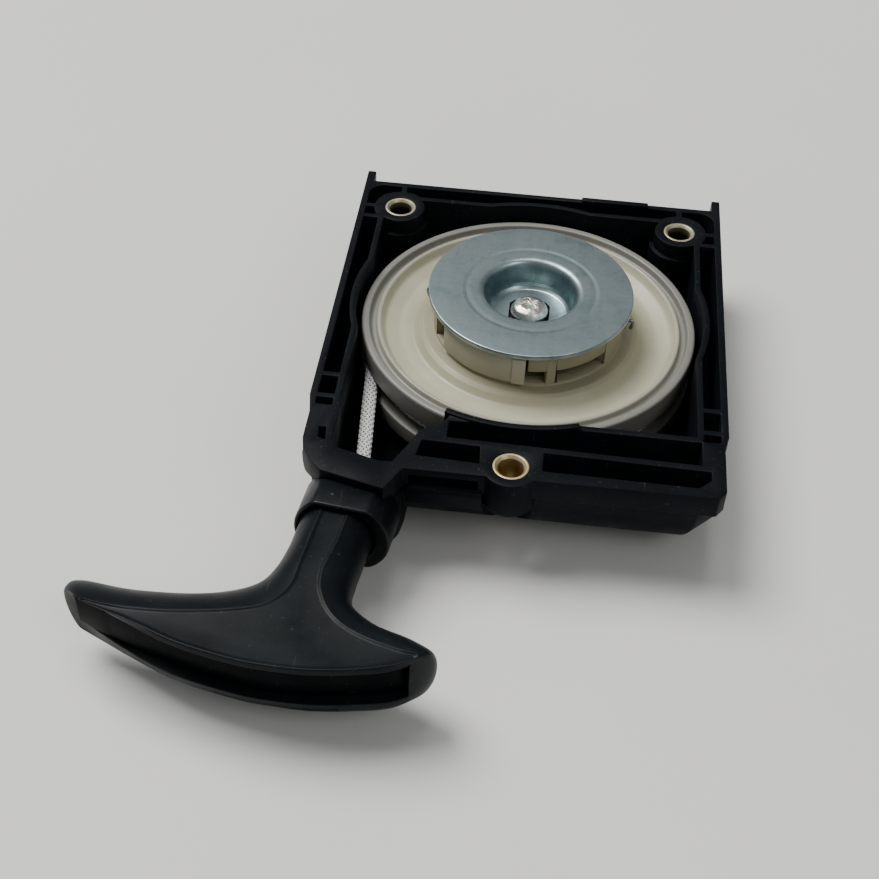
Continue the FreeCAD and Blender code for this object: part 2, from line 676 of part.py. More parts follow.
def grip_wire(short, front, long, z):
    def straight(a, b):
        return Part.LineSegment(V(a[0], a[1], z), V(b[0], b[1], z)).toShape()
    edges = [
        smooth(short, z),
        straight(short[-1], front[0]),
        smooth(front, z),
        straight(front[-1], long[0]),
        smooth(long, z),
        straight(long[-1], short[0]),
    ]
    return Part.Wire(edges)


def grip():
    wires = [grip_wire(*level) for level in HANDLE_LEVELS]
    upper = Part.makeLoft(wires[:2], True, True)
    lower = Part.makeLoft(wires[1:], True, True)
    return upper.fuse(lower)


def neck():
    shaft = along_handle(NECK_RADIUS, 2.4, 18.0)
    end = [e for e in shaft.Edges if e.BoundBox.YMax < 2.5]
    shaft = shaft.makeFillet(0.8, end)
    slab = box((-20, 0, -HANDLE_HALF_HEIGHT), (20, 40, HANDLE_HALF_HEIGHT))
    return shaft.common(slab)


def front_strip(near, far):
    """Curved strip behind the grip's front face, between two depths."""
    z = CAP_LOW
    outer = smooth([(x, y - near) for x, y in CAP_FRONT], z)
    inner = smooth([(x, y - far) for x, y in CAP_FRONT], z)
    ends = []
    for index in (0, -1):
        ends.append(Part.LineSegment(outer.Vertexes[index].Point, inner.Vertexes[index].Point).toShape())
    outline = Part.Wire(Part.__sortEdges__([outer, inner] + ends))
    return Part.Face(outline).extrude(V(0, 0, CAP_HIGH - CAP_LOW))


def handle_body():
    body = fuse_all([grip(), neck()])
    body = body.cut(front_strip(-6.0, CAP_INSET + CAP_THICKNESS))
    body = body.cut(along_handle(ROPE_EYE, 0, KNOT_SEAT + 1))
    slab = box((-9, 0, CAP_LOW), (9, 60, CAP_HIGH))
    body = body.cut(along_handle(KNOT_CHAMBER, KNOT_SEAT, 46).common(slab))
    return handle_frame(body)


def handle_cap():
    return handle_frame(front_strip(CAP_INSET, CAP_INSET + CAP_THICKNESS))


def handle_washer():
    washer = along_handle(3.8, KNOT_SEAT, KNOT_SEAT + 1.2).cut(along_handle(1.9, 0, 60))
    return handle_frame(washer)


def handle_rope_knot():
    knot = Part.makeTorus(2.0, 1.5, V(0, KNOT_SEAT + 2.9, 0), V(0, 1, 0))
    core = along_handle(1.6, KNOT_SEAT + 1.3, KNOT_SEAT + 5.2)
    return handle_frame(knot.fuse(core))


# ---------------------------------------------------------------- rope
ROPE_TURN_IN = (-31.7, -44.5, -11.2)
ROPE_EYE_IN = (-32.5, -55.2, -10.0)


def rope_start():
    """First point of the straight run, just clear of the wound turns."""
    gx, gy = ROPE_TURN_IN[0], ROPE_TURN_IN[1]
    reach = math.hypot(gx, gy)
    swing = math.degrees(math.acos(ROPE_OUTER_TURN / reach))
    facing = math.degrees(math.atan2(gy, gx))
    tangent = polar(ROPE_OUTER_TURN, facing - swing, at_height(ROPE_LEVEL))
    heading = V(gx, gy, at_height(ROPE_TURN_IN[2])) - tangent
    heading.normalize()
    return tangent + heading * 16.4


def rounded_path(points):
    """Straight runs joined by tangent arcs, each as large as its runs allow."""
    edges = []
    start = points[0]
    for before, corner, after in zip(points, points[1:], points[2:]):
        incoming = (corner - before)
        outgoing = (after - corner)
        shorter = min(incoming.Length, outgoing.Length)
        turn = incoming.getAngle(outgoing)
        radius = 0.45 * shorter / math.tan(turn / 2)
        trim = radius * math.tan(turn / 2)
        incoming.normalize()
        outgoing.normalize()
        first = corner - incoming * trim
        last = corner + outgoing * trim
        inward = outgoing - incoming
        inward.normalize()
        middle = corner + inward * (radius / math.cos(turn / 2) - radius)
        edges.append(Part.LineSegment(start, first).toShape())
        edges.append(Part.Arc(first, middle, last).toShape())
        print("rope bend radius", round(radius, 1))
        start = last
    edges.append(Part.LineSegment(start, points[-1]).toShape())
    return Part.Wire(edges)


def rope_run():
    """Rope from the reel's rim to the handle's neck."""
    start = rope_start()
    turn_in = V(ROPE_TURN_IN[0], ROPE_TURN_IN[1], at_height(ROPE_TURN_IN[2]))
    eye = V(ROPE_EYE_IN[0], ROPE_EYE_IN[1], at_height(ROPE_EYE_IN[2]))
    outward = V(-math.sin(math.radians(GUIDE_YAW)), -math.cos(math.radians(GUIDE_YAW)), 0)
    end = V(GUIDE_POINT[0], GUIDE_POINT[1], at_height(GUIDE_LEVEL)) + outward * 2.3
    path = rounded_path([start, turn_in, eye, end])
    circle = Part.Circle(start, turn_in - start, ROPE_DIAMETER / 2)
    section = Part.Wire([circle.toShape()])
    tube = path.makePipeShell([section], True, False)
    ideal = math.pi * (ROPE_DIAMETER / 2) ** 2 * path.Length
    print("rope run length", round(path.Length, 1), "volume ratio", round(tube.Volume / ideal, 3))
    return tube


def handle_rope():
    return handle_frame(along_handle(ROPE_DIAMETER / 2, 2.3, KNOT_SEAT + 1.2))


# ---------------------------------------------------------------- write the parts
def build():
    os.makedirs("parts", exist_ok=True)
    save("starter_case", starter_case())
    save("rope_guide", rope_guide())
    for name, (x, y) in zip(("back_left", "back_right"), BACK_COLLARS):
        save("mount_collar_" + name, mount_collar(x, y, BACK_COLLAR_LENGTH))
    save("mount_collar_front", mount_collar(*FRONT_COLLAR, FRONT_COLLAR_LENGTH))
    save("friction_plate", friction_plate())
    save("thrust_washer", thrust_washer())
    save("friction_spring", friction_spring())
    save("centre_screw", centre_screw())
    save("spring_cassette", spring_cassette())
    save("recoil_spring", recoil_spring())
    save("reel", reel())
    save("reel_hub", reel_hub())
    save("reel_bush", reel_bush())
    save("rope_winding", rope_winding())
    save("reel_rope_knot", reel_rope_knot())
    for number, angle in enumerate(PAWL_PIVOT_ANGLES, 1):
        save("pawl_" + str(number), pawl(angle))
        save("pawl_spring_" + str(number), pawl_spring(angle))
    save("rope_run", rope_run())
    save("handle_body", handle_body())
    save("handle_cap", handle_cap())
    save("handle_washer", handle_washer())
    save("handle_rope_knot", handle_rope_knot())
    save("handle_rope", handle_rope())


build()
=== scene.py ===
import math

import bmesh
import bpy
from mathutils import Matrix, Vector
from mathutils.noise import noise as noise_at


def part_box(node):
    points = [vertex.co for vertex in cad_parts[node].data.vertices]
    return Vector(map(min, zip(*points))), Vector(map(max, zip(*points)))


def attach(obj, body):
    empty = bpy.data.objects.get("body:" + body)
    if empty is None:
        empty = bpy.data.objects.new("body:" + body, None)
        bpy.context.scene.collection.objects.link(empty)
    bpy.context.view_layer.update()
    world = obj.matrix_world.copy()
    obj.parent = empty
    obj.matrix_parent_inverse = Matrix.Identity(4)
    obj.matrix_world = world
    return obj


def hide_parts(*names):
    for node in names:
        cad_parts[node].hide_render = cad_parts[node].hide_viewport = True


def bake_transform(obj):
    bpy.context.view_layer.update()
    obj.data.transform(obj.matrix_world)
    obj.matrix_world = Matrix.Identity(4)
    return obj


# Recoil starter lying on the outer face of its case, open side up.
# Lengths in the shape code are millimetres, in the frame's own axes; MM turns them into metres.
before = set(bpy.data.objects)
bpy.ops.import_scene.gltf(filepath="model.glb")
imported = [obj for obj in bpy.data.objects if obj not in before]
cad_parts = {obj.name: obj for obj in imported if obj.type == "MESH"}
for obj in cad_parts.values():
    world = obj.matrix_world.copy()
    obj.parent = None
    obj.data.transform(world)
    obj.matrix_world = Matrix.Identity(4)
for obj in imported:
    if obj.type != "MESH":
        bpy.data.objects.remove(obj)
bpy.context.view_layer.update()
MM = 0.001


def cad_low(node):
    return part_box(node)[0] / MM


def cad_high(node):
    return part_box(node)[1] / MM


# ---------------------------------------------------------------- places read from the frame
PLANE = cad_high("mount_collar_back_left").z  # mounting plane, the height other levels hang from
REEL_RADIUS = cad_high("reel").x
PLATE_RADIUS = cad_high("friction_plate").x
PLATE_TOP = cad_high("friction_plate").z
ROPE_RADIUS = (cad_high("rope_winding").z - cad_low("rope_winding").z) / 2
ROPE_LEVEL = (cad_high("rope_winding").z + cad_low("rope_winding").z) / 2

# ---------------------------------------------------------------- sizes that several pieces share
GUIDE_YAW = math.radians(7.0)  # how far the handle is turned about Z
GUIDE_POINT = Vector((-33.2, -61.0, PLANE - 10.0))  # start of the handle's own frame, on the rope's line
PAWL_PIVOT_ANGLES = (212.0, 32.0)
PAWL_PIVOT_RADIUS = 17.6
PAWL_PIN_RADIUS = 1.6
HUB_RADIUS = 21.5
HUB_INNER = 19.4
HUB_TOP = PLANE + 3.35
HUB_FLOOR = PLANE - 4.1  # inside the hub, under the pawls
PLATE_GAUGE = 1.2
CUP_MOUTH = 10.36  # radius of the plate's cup at its top
CUP_FLOOR = PLANE - 1.7  # where the screw's head sits
FLOOR_LEVEL = 0.0
MERGE_DISTANCE = 1e-7  # metres
CAD_MERGE_DISTANCE = 2e-6  # metres


# ---------------------------------------------------------------- mesh helpers
def new_object(name, mesh):
    obj = bpy.data.objects.new(name, mesh)
    bpy.context.scene.collection.objects.link(obj)
    return obj


def mesh_object(name, points, faces):
    """Mesh from points in millimetres, cleaned and with its normals outwards."""
    mesh = bpy.data.meshes.new(name)
    mesh.from_pydata([Vector(p) * MM for p in points], [], faces)
    bm = bmesh.new()
    bm.from_mesh(mesh)
    bmesh.ops.remove_doubles(bm, verts=bm.verts, dist=MERGE_DISTANCE)
    bmesh.ops.recalc_face_normals(bm, faces=bm.faces)
    bm.to_mesh(mesh)
    bm.free()
    return new_object(name, mesh)


def rounded(points, steps=4, closed=True):
    """Corners given as (a, b) or (a, b, radius); each radius becomes a curve that touches both sides."""
    side_share = 0.48
    flat = [Vector((p[0], p[1])) for p in points]
    radii = [p[2] if len(p) > 2 else 0.0 for p in points]
    result = []
    count = len(flat)
    for i, corner in enumerate(flat):
        ends = not closed and i in (0, count - 1)
        if radii[i] == 0.0 or ends:
            result.append(corner)
            continue
        before = flat[i - 1] - corner
        after = flat[(i + 1) % count] - corner
        turn = math.pi - before.angle(after)
        trim = min(radii[i] * math.tan(turn / 2), side_share * before.length, side_share * after.length)
        first = corner + before.normalized() * trim
        last = corner + after.normalized() * trim
        for step in range(steps + 1):
            t = step / steps
            result.append(first * (1 - t) ** 2 + corner * (2 * t * (1 - t)) + last * t ** 2)
    return result


def lathe(name, profile, segments=192, steps=4):
    """Closed (radius, height, corner radius) outline turned about Z."""
    loop = rounded(profile, steps)
    points = []
    faces = []
    count = len(loop)
    for turn in range(segments):
        angle = 2 * math.pi * turn / segments
        for r, z in loop:
            points.append((r * math.cos(angle), r * math.sin(angle), z))
        here = turn * count
        there = (turn + 1) % segments * count
        for i in range(count):
            j = (i + 1) % count
            faces.append((here + i, here + j, there + j, there + i))
    return mesh_object(name, points, faces)


def polar(radius, degrees, z=0.0):
    angle = math.radians(degrees)
    return Vector((radius * math.cos(angle), radius * math.sin(angle), z))


def prism(name, outline, low, high):
    """Upright solid over a plan outline."""
    count = len(outline)
    points = [(p[0], p[1], low) for p in outline] + [(p[0], p[1], high) for p in outline]
    faces = [tuple(range(count)), tuple(range(count, 2 * count))]
    for i in range(count):
        j = (i + 1) % count
        faces.append((i, j, count + j, count + i))
    return mesh_object(name, points, faces)


def sector(name, outer, inner, start, end, low, high, steps=24):
    """Part of an upright ring between two angles in degrees."""
    angles = [start + (end - start) * i / steps for i in range(steps + 1)]
    outline = [polar(outer, a) for a in angles] + [polar(inner, a) for a in reversed(angles)]
    return prism(name, outline, low, high)


def block(name, low, high):
    outline = ((low[0], low[1]), (high[0], low[1]), (high[0], high[1]), (low[0], high[1]))
    return prism(name, outline, low[2], high[2])


def apply_modifiers(obj):
    bpy.context.view_layer.update()
    shaped = obj.evaluated_get(bpy.context.evaluated_depsgraph_get())
    mesh = bpy.data.meshes.new_from_object(shaped)
    obj.modifiers.clear()
    obj.data = mesh
    return obj


def combine(target, others, operation):
    """Boolean with each other object, which is then removed."""
    for other in others:
        step = target.modifiers.new("step", "BOOLEAN")
        step.operation = operation
        step.solver = "EXACT"
        step.object = other
    apply_modifiers(target)
    for other in others:
        bpy.data.objects.remove(other)
    return target


def cut(target, *others):
    return combine(target, others, "DIFFERENCE")


def join(name, objects):
    """One mesh object from several, with nothing merged."""
    bm = bmesh.new()
    for obj in objects:
        bm.from_mesh(obj.data)
    mesh = bpy.data.meshes.new(name)
    bm.to_mesh(mesh)
    bm.free()
    for obj in objects:
        bpy.data.objects.remove(obj)
    return new_object(name, mesh)


def smooth(obj, degrees=32.0):
    obj.data.shade_smooth()
    obj.data.set_sharp_from_angle(angle=math.radians(degrees))
    return obj


def soften(obj, width, degrees=35.0, segments=2, within=None):
    """Small rounded edges wherever two faces meet at more than an angle, in a box or everywhere."""
    bm = bmesh.new()
    bm.from_mesh(obj.data)
    sharp = [e for e in bm.edges if len(e.link_faces) == 2
             and e.calc_face_angle(0.0) > math.radians(degrees)]
    if within is not None:
        low, high = within
        sharp = [e for e in sharp if all(low[k] * MM < v.co[k] < high[k] * MM
                                         for v in e.verts for k in range(3))]
    bmesh.ops.bevel(bm, geom=sharp, offset=width * MM, offset_type="OFFSET", segments=segments,
                    profile=0.5, affect="EDGES", clamp_overlap=False)
    bm.to_mesh(obj.data)
    bm.free()
    return smooth(obj)


def tube(name, path, radius, sides=10, closed=False):
    """Round wire along points in millimetres."""
    nearly_parallel = 0.95
    points = []
    faces = []
    side = Vector((0, 0, 1))
    count = len(path)
    for i, here in enumerate(path):
        if closed:
            ahead = path[(i + 1) % count] - path[i - 1]
        else:
            ahead = path[min(i + 1, count - 1)] - path[max(i - 1, 0)]
        ahead.normalize()
        if abs(ahead.dot(side)) > nearly_parallel:
            side = Vector((1, 0, 0))
        across = ahead.cross(side).normalized()
        up = across.cross(ahead)
        side = up
        for k in range(sides):
            angle = 2 * math.pi * k / sides
            points.append(here + across * (radius * math.cos(angle)) + up * (radius * math.sin(angle)))
    for i in range(count if closed else count - 1):
        for k in range(sides):
            j = (k + 1) % sides
            a = i * sides
            b = (i + 1) % count * sides
            faces.append((a + k, a + j, b + j, b + k))
    if not closed:
        faces.append(tuple(range(sides)))
        faces.append(tuple(range((count - 1) * sides, count * sides)))
    return smooth(mesh_object(name, points, faces))


def spline(points, samples, closed=False):
    """Catmull-Rom curve through points, with a few samples for each span."""
    count = len(points)
    result = []
    for i in range(count if closed else count - 1):
        if closed:
            p0, p1, p2, p3 = (points[(i + k) % count] for k in (-1, 0, 1, 2))
        else:
            p0, p1, p2, p3 = (points[min(max(i + k, 0), count - 1)] for k in (-1, 0, 1, 2))
        for step in range(samples):
            t = step / samples
            line = p1 * 2 + (p2 - p0) * t
            bend = (p0 * 2 - p1 * 5 + p2 * 4 - p3) * t ** 2
            twist = (p1 * 3 - p0 - p2 * 3 + p3) * t ** 3
            result.append((line + bend + twist) * 0.5)
    if not closed:
        result.append(points[-1].copy())
    return result


def spaced(path, count, skip_start=0.0, skip_end=0.0):
    """Evenly spaced points along a path, less a little at each end."""
    most_skipped = 0.45
    lengths = [0.0]
    for a, b in zip(path, path[1:]):
        lengths.append(lengths[-1] + (b - a).length)
    total = lengths[-1]
    first = min(skip_start, total * most_skipped)
    last = total - min(skip_end, total * most_skipped)
    result = []
    span = 0
    for i in range(count + 1):
        target = first + (last - first) * i / count
        while span < len(path) - 2 and lengths[span + 1] < target:
            span += 1
        share = (target - lengths[span]) / max(lengths[span + 1] - lengths[span], 1e-9)
        result.append(path[span].lerp(path[span + 1], share))
    return result


def handle_place():
    """From the handle's own frame (X to the long arm, Y outwards, Z up) to the row frame."""
    turn = Matrix.Rotation(math.pi - GUIDE_YAW, 4, "Z")
    return Matrix.Translation(GUIDE_POINT * MM) @ turn


def put_on_handle(obj):
    obj.data.transform(handle_place())
    return obj


# ---------------------------------------------------------------- materials
def ramp(tree, source, stops):
    node = tree.nodes.new("ShaderNodeValToRGB")
    tree.links.new(source, node.inputs["Fac"])
    elements = node.color_ramp.elements
    while len(elements) < len(stops):
        elements.new(0.5)
    for element, (place, value) in zip(elements, stops):
        element.position = place
        element.color = (*value, 1.0) if isinstance(value, tuple) else (value, value, value, 1.0)
    return node.outputs["Color"]


def mix(tree, factor, first, second, blend="MIX"):
    node = tree.nodes.new("ShaderNodeMix")
    node.data_type = "RGBA"
    node.blend_type = blend
    for value, socket in ((factor, node.inputs[0]), (first, node.inputs[6]), (second, node.inputs[7])):
        if isinstance(value, bpy.types.NodeSocket):
            tree.links.new(value, socket)
        elif isinstance(value, tuple):
            socket.default_value = (*value, 1.0)
        else:
            socket.default_value = value
    return node.outputs[2]


def noise(tree, vector, scale, detail=4.0, roughness=0.55, distortion=0.0):
    node = tree.nodes.new("ShaderNodeTexNoise")
    node.inputs["Scale"].default_value = scale
    node.inputs["Detail"].default_value = detail
    node.inputs["Roughness"].default_value = roughness
    node.inputs["Distortion"].default_value = distortion
    tree.links.new(vector, node.inputs["Vector"])
    return node.outputs["Fac"]


def stretched(tree, vector, scale, turn=(0.0, 0.0, 0.0)):
    node = tree.nodes.new("ShaderNodeMapping")
    node.inputs["Scale"].default_value = scale
    node.inputs["Rotation"].default_value = turn
    tree.links.new(vector, node.inputs["Vector"])
    return node.outputs["Vector"]


def maths(tree, operation, first, second=0.0):
    node = tree.nodes.new("ShaderNodeMath")
    node.operation = operation
    node.use_clamp = operation in ("ADD", "MULTIPLY", "SUBTRACT")
    for value, socket in ((first, node.inputs[0]), (second, node.inputs[1])):
        if isinstance(value, bpy.types.NodeSocket):
            tree.links.new(value, socket)
        else:
            socket.default_value = value
    return node.outputs[0]


def bump(tree, height, distance, strength=1.0, under=None):
    node = tree.nodes.new("ShaderNodeBump")
    node.inputs["Distance"].default_value = distance * MM
    node.inputs["Strength"].default_value = strength
    tree.links.new(height, node.inputs["Height"])
    if under is not None:
        tree.links.new(under, node.inputs["Normal"])
    return node.outputs["Normal"]


def edge_mask(tree, radius):
    """White where a surface turns sharply within a small distance: worn edges and corners."""
    bevel = tree.nodes.new("ShaderNodeBevel")
    bevel.samples = 4
    bevel.inputs["Radius"].default_value = radius * MM
    plain = tree.nodes.new("ShaderNodeNewGeometry")
    dot = tree.nodes.new("ShaderNodeVectorMath")
    dot.operation = "DOT_PRODUCT"
    tree.links.new(bevel.outputs["Normal"], dot.inputs[0])
    tree.links.new(plain.outputs["Normal"], dot.inputs[1])
    return ramp(tree, dot.outputs["Value"], ((0.80, 1.0), (0.985, 0.0)))


def start_material(name):
    material = bpy.data.materials.new(name)
    material.use_nodes = True
    tree = material.node_tree
    shader = tree.nodes["Principled BSDF"]
    coordinates = tree.nodes.new("ShaderNodeTexCoord").outputs["Object"]
    return material, tree, shader, coordinates


def moulded_plastic(name, colour, light, dark, rough, grain, wear, specular=0.3, soft=0.0):
    """Moulded plastic: cloudy tone, fine spark-eroded grain, rubbed edges, hairline scuffs and some dust."""
    material, tree, shader, place = start_material(name)
    clouds = noise(tree, place, 55.0, 3.0)
    tone = ramp(tree, clouds, ((0.3, dark), (0.5, colour), (0.72, light)))
    worn = edge_mask(tree, 0.35)
    broken = ramp(tree, noise(tree, place, 420.0, 3.0), ((0.35, 0.15), (0.6, 1.0)))
    faded = maths(tree, "MULTIPLY", maths(tree, "MULTIPLY", worn, broken), wear)
    rubbed = tuple(min(1.0, c * 2.6 + 0.03) for c in colour)
    tone = mix(tree, faded, tone, rubbed)
    scuffs = noise(tree, stretched(tree, place, (900.0, 60.0, 300.0), (0.2, 0.1, 0.7)), 1.0, 2.0)
    scratch = ramp(tree, scuffs, ((0.70, 0.0), (0.78, 1.0)))
    dust = ramp(tree, noise(tree, place, 1300.0, 2.0), ((0.66, 0.0), (0.76, 1.0)))
    marks = maths(tree, "MULTIPLY", maths(tree, "ADD", scratch, dust), 0.05)
    tone = mix(tree, marks, tone, (0.45, 0.45, 0.44))
    tree.links.new(tone, shader.inputs["Base Color"])
    spread = ramp(tree, noise(tree, place, 170.0, 5.0), ((0.3, rough - 0.07), (0.7, rough + 0.09)))
    spread = mix(tree, maths(tree, "MULTIPLY", scratch, 0.35), spread, (0.75, 0.75, 0.75))
    tree.links.new(spread, shader.inputs["Roughness"])
    fine = noise(tree, place, 2600.0, 2.0)
    broad = noise(tree, place, 240.0, 2.0)
    normal = bump(tree, broad, 0.05, 0.35)
    normal = bump(tree, fine, grain, 0.6, normal)
    tree.links.new(normal, shader.inputs["Normal"])
    shader.inputs["Specular IOR Level"].default_value = specular
    if soft > 0:
        shader.inputs["Subsurface Weight"].default_value = soft
        shader.inputs["Subsurface Radius"].default_value = (1.0, 0.9, 0.7)
        shader.inputs["Subsurface Scale"].default_value = 0.0016
    return material


def ivory_plastic(name, face, rim, rough):
    """Reel nylon: warm, slightly translucent and stained, greyer at its rim, with painted shade darkening it
    towards the hub's foot.
    """
    material, tree, shader, place = start_material(name)
    split = tree.nodes.new("ShaderNodeSeparateXYZ")
    tree.links.new(place, split.inputs[0])
    across = maths(tree, "POWER", split.outputs["X"], 2.0)
    along = maths(tree, "POWER", split.outputs["Y"], 2.0)
    squared = maths(tree, "ADD", across, along)
    radius = maths(tree, "POWER", squared, 0.5)
    outer = maths(tree, "DIVIDE", radius, REEL_RADIUS * MM)
    outwards = ramp(tree, outer, ((0.86, 0.0), (0.93, 1.0)))
    cloud = ramp(tree, noise(tree, place, 90.0, 4.0), ((0.3, 0.88), (0.7, 1.0)))
    tone = mix(tree, outwards, face, rim)
    tone = mix(tree, 1.0, tone, cloud, "MULTIPLY")
    # Painted shade: the face darkens and warms towards the hub's foot, where the dish lies in the plate's and
    # hub's shade.
    foot = ramp(tree, outer, ((0.60, (0.66, 0.63, 0.56)), (0.79, (1.0, 1.0, 1.0))))
    tone = mix(tree, 1.0, tone, foot, "MULTIPLY")
    stain = ramp(tree, noise(tree, place, 33.0, 5.0, 0.6, 0.4), ((0.56, 0.0), (0.75, 1.0)))
    tone = mix(tree, maths(tree, "MULTIPLY", stain, 0.20), tone, (0.36, 0.32, 0.23))
    specks = ramp(tree, noise(tree, place, 1500.0, 2.0), ((0.70, 0.0), (0.78, 1.0)))
    tone = mix(tree, maths(tree, "MULTIPLY", specks, 0.25), tone, (0.22, 0.20, 0.16))
    tree.links.new(tone, shader.inputs["Base Color"])
    gloss = ramp(tree, noise(tree, place, 210.0, 4.0), ((0.3, rough - 0.06), (0.7, rough + 0.08)))
    tree.links.new(gloss, shader.inputs["Roughness"])
    rings = tree.nodes.new("ShaderNodeTexNoise")
    rings.noise_dimensions = "1D"
    rings.inputs["Scale"].default_value = 3000.0
    tree.links.new(radius, rings.inputs["W"])
    normal = bump(tree, rings.outputs["Fac"], 0.012, 0.4)
    normal = bump(tree, noise(tree, place, 900.0, 3.0), 0.02, 0.4, normal)
    tree.links.new(normal, shader.inputs["Normal"])
    shader.inputs["Subsurface Weight"].default_value = 0.25
    shader.inputs["Subsurface Radius"].default_value = (1.0, 0.85, 0.6)
    shader.inputs["Subsurface Scale"].default_value = 0.0018
    return material


def plated_metal(name, colour, light, dark, rough, metallic=1.0, mottle=60.0, brushed=0.3, bumps=0.02,
                 shade_levels=()):
    """Plated steel or brass: mottled, finely scratched, with darker spots and painted shade at given heights."""
    material, tree, shader, place = start_material(name)
    patches = noise(tree, place, mottle, 6.0, 0.62, 0.6)
    tone = ramp(tree, patches, ((0.30, dark), (0.48, colour), (0.68, light)))
    smudge = ramp(tree, noise(tree, place, mottle * 2.6, 5.0, 0.7, 1.2), ((0.58, 0.0), (0.70, 1.0)))
    stain = tuple(c * 0.55 for c in dark)
    tone = mix(tree, maths(tree, "MULTIPLY", smudge, 0.38), tone, stain)
    if shade_levels:
        split = tree.nodes.new("ShaderNodeSeparateXYZ")
        tree.links.new(place, split.inputs[0])
        height = maths(tree, "DIVIDE", split.outputs["Z"], PLATE_TOP * MM)
        # Painted shade at the given heights: darker on the cup's inner wall and down the collars' bores.
        dirt_and_painted_shade = ramp(tree, height, [(level / PLATE_TOP, shade) for level, shade in shade_levels])
        tone = mix(tree, 1.0, tone, dirt_and_painted_shade, "MULTIPLY")
    tree.links.new(tone, shader.inputs["Base Color"])
    first = noise(tree, stretched(tree, place, (40.0, 2400.0, 400.0), (0.0, 0.0, 0.5)), 1.0, 3.0)
    second = noise(tree, stretched(tree, place, (2100.0, 55.0, 400.0), (0.0, 0.0, 0.25)), 1.0, 3.0)
    lines = mix(tree, 0.5, first, second)
    gloss = ramp(tree, patches, ((0.3, rough + 0.10), (0.7, rough - 0.06)))
    gloss = mix(tree, brushed * 0.4, gloss, lines)
    tree.links.new(gloss, shader.inputs["Roughness"])
    normal = bump(tree, noise(tree, place, mottle * 5, 3.0), bumps * 3, 0.3)
    normal = bump(tree, lines, bumps, brushed, normal)
    tree.links.new(normal, shader.inputs["Normal"])
    shader.inputs["Metallic"].default_value = metallic
    return material


def rope_fibre(name, colour, shade):
    """Braid yarn: fine fibres along each strand, off-white with greyer parts."""
    material, tree, shader, place = start_material(name)
    fibres = noise(tree, stretched(tree, place, (5200.0, 900.0, 5200.0)), 1.0, 3.0, 0.7)
    tone = ramp(tree, fibres, ((0.30, shade), (0.62, colour)))
    dirt_and_painted_shade = ramp(tree, noise(tree, place, 300.0, 4.0), ((0.45, 0.0), (0.75, 0.45)))
    tone = mix(tree, dirt_and_painted_shade, tone, shade)
    tree.links.new(tone, shader.inputs["Base Color"])
    shader.inputs["Roughness"].default_value = 0.62
    shader.inputs["Sheen Weight"].default_value = 0.25
    shader.inputs["Sheen Roughness"].default_value = 0.5
    tree.links.new(bump(tree, fibres, 0.08, 0.8), shader.inputs["Normal"])
    return material


def floor_finish():
    """Matt pale board with a trace of cloudiness and a few fine specks."""
    material, tree, shader, place = start_material("floor_board")
    cloud = noise(tree, place, 5.0, 4.0, 0.6)
    tone = ramp(tree, cloud, ((0.3, (0.60, 0.60, 0.585)), (0.7, (0.64, 0.64, 0.626))))
    specks = ramp(tree, noise(tree, place, 260.0, 2.0), ((0.68, 0.0), (0.80, 1.0)))
    tone = mix(tree, maths(tree, "MULTIPLY", specks, 0.10), tone, (0.40, 0.40, 0.38))
    tree.links.new(tone, shader.inputs["Base Color"])
    shader.inputs["Roughness"].default_value = 0.62
    tree.links.new(bump(tree, noise(tree, place, 700.0, 3.0), 0.02, 0.3), shader.inputs["Normal"])
    return material


# Multipliers for the painted shade at given heights on the plated metals.
UNSHADED = (1.0, 1.0, 1.0)
CUP_WALL_SHADE = (0.60, 0.74, 0.76)
CASE_BLACK = moulded_plastic("case_black", (0.0030, 0.0042, 0.0058), (0.0048, 0.0065, 0.0086),
                             (0.0020, 0.0028, 0.0040), 0.46, 0.02, wear=0.08, specular=0.07)
GUIDE_BLACK = moulded_plastic("guide_black", (0.0038, 0.0054, 0.0066), (0.006, 0.0082, 0.0098),
                              (0.0026, 0.0037, 0.0048), 0.34, 0.012, wear=0.12, specular=0.15)
HANDLE_BLACK = moulded_plastic("handle_black", (0.0042, 0.0062, 0.0074), (0.0062, 0.0088, 0.0104),
                               (0.0030, 0.0044, 0.0053), 0.36, 0.010, wear=0.16, specular=0.10)
# Painted shade: the cap's plastic is darker than the grip's, standing in for the shade in the grip's front
# recess.
CAP_BLACK_SHADED = moulded_plastic("cap_black_painted_shade", (0.0012, 0.0015, 0.0024), (0.002, 0.0025, 0.0036),
                            (0.0008, 0.001, 0.0016), 0.40, 0.008, wear=0.03, specular=0.03)
IVORY = ivory_plastic("reel_ivory", (0.44, 0.428, 0.315), (0.18, 0.178, 0.160), 0.42)
PAWL_WHITE = moulded_plastic("pawl_nylon", (0.40, 0.385, 0.30), (0.46, 0.445, 0.36),
                             (0.33, 0.31, 0.24), 0.45, 0.01, wear=0.0, soft=0.2)
# Painted shade: the cup's inner wall is darkened; the cup floor and the plate's top stay unshaded.
ZINC = plated_metal("zinc_plate", (0.26, 0.325, 0.34), (0.38, 0.45, 0.465), (0.16, 0.21, 0.22),
                    0.30, metallic=0.9, mottle=190.0, brushed=0.25, bumps=0.012,
                    shade_levels=((PLANE - 1.6, UNSHADED), (PLANE - 0.6, CUP_WALL_SHADE), (PLATE_TOP - 1.9, CUP_WALL_SHADE),
                            (PLATE_TOP - 0.9, UNSHADED)))
SCREW_ZINC = plated_metal("screw_zinc", (0.62, 0.61, 0.57), (0.86, 0.85, 0.81), (0.34, 0.33, 0.29),
                          0.28, metallic=1.0, mottle=600.0, brushed=0.2, bumps=0.05)
SPRING_STEEL = plated_metal("spring_steel", (0.25, 0.26, 0.28), (0.36, 0.37, 0.39), (0.14, 0.14, 0.15),
                            0.33, mottle=200.0, brushed=0.5, bumps=0.01)
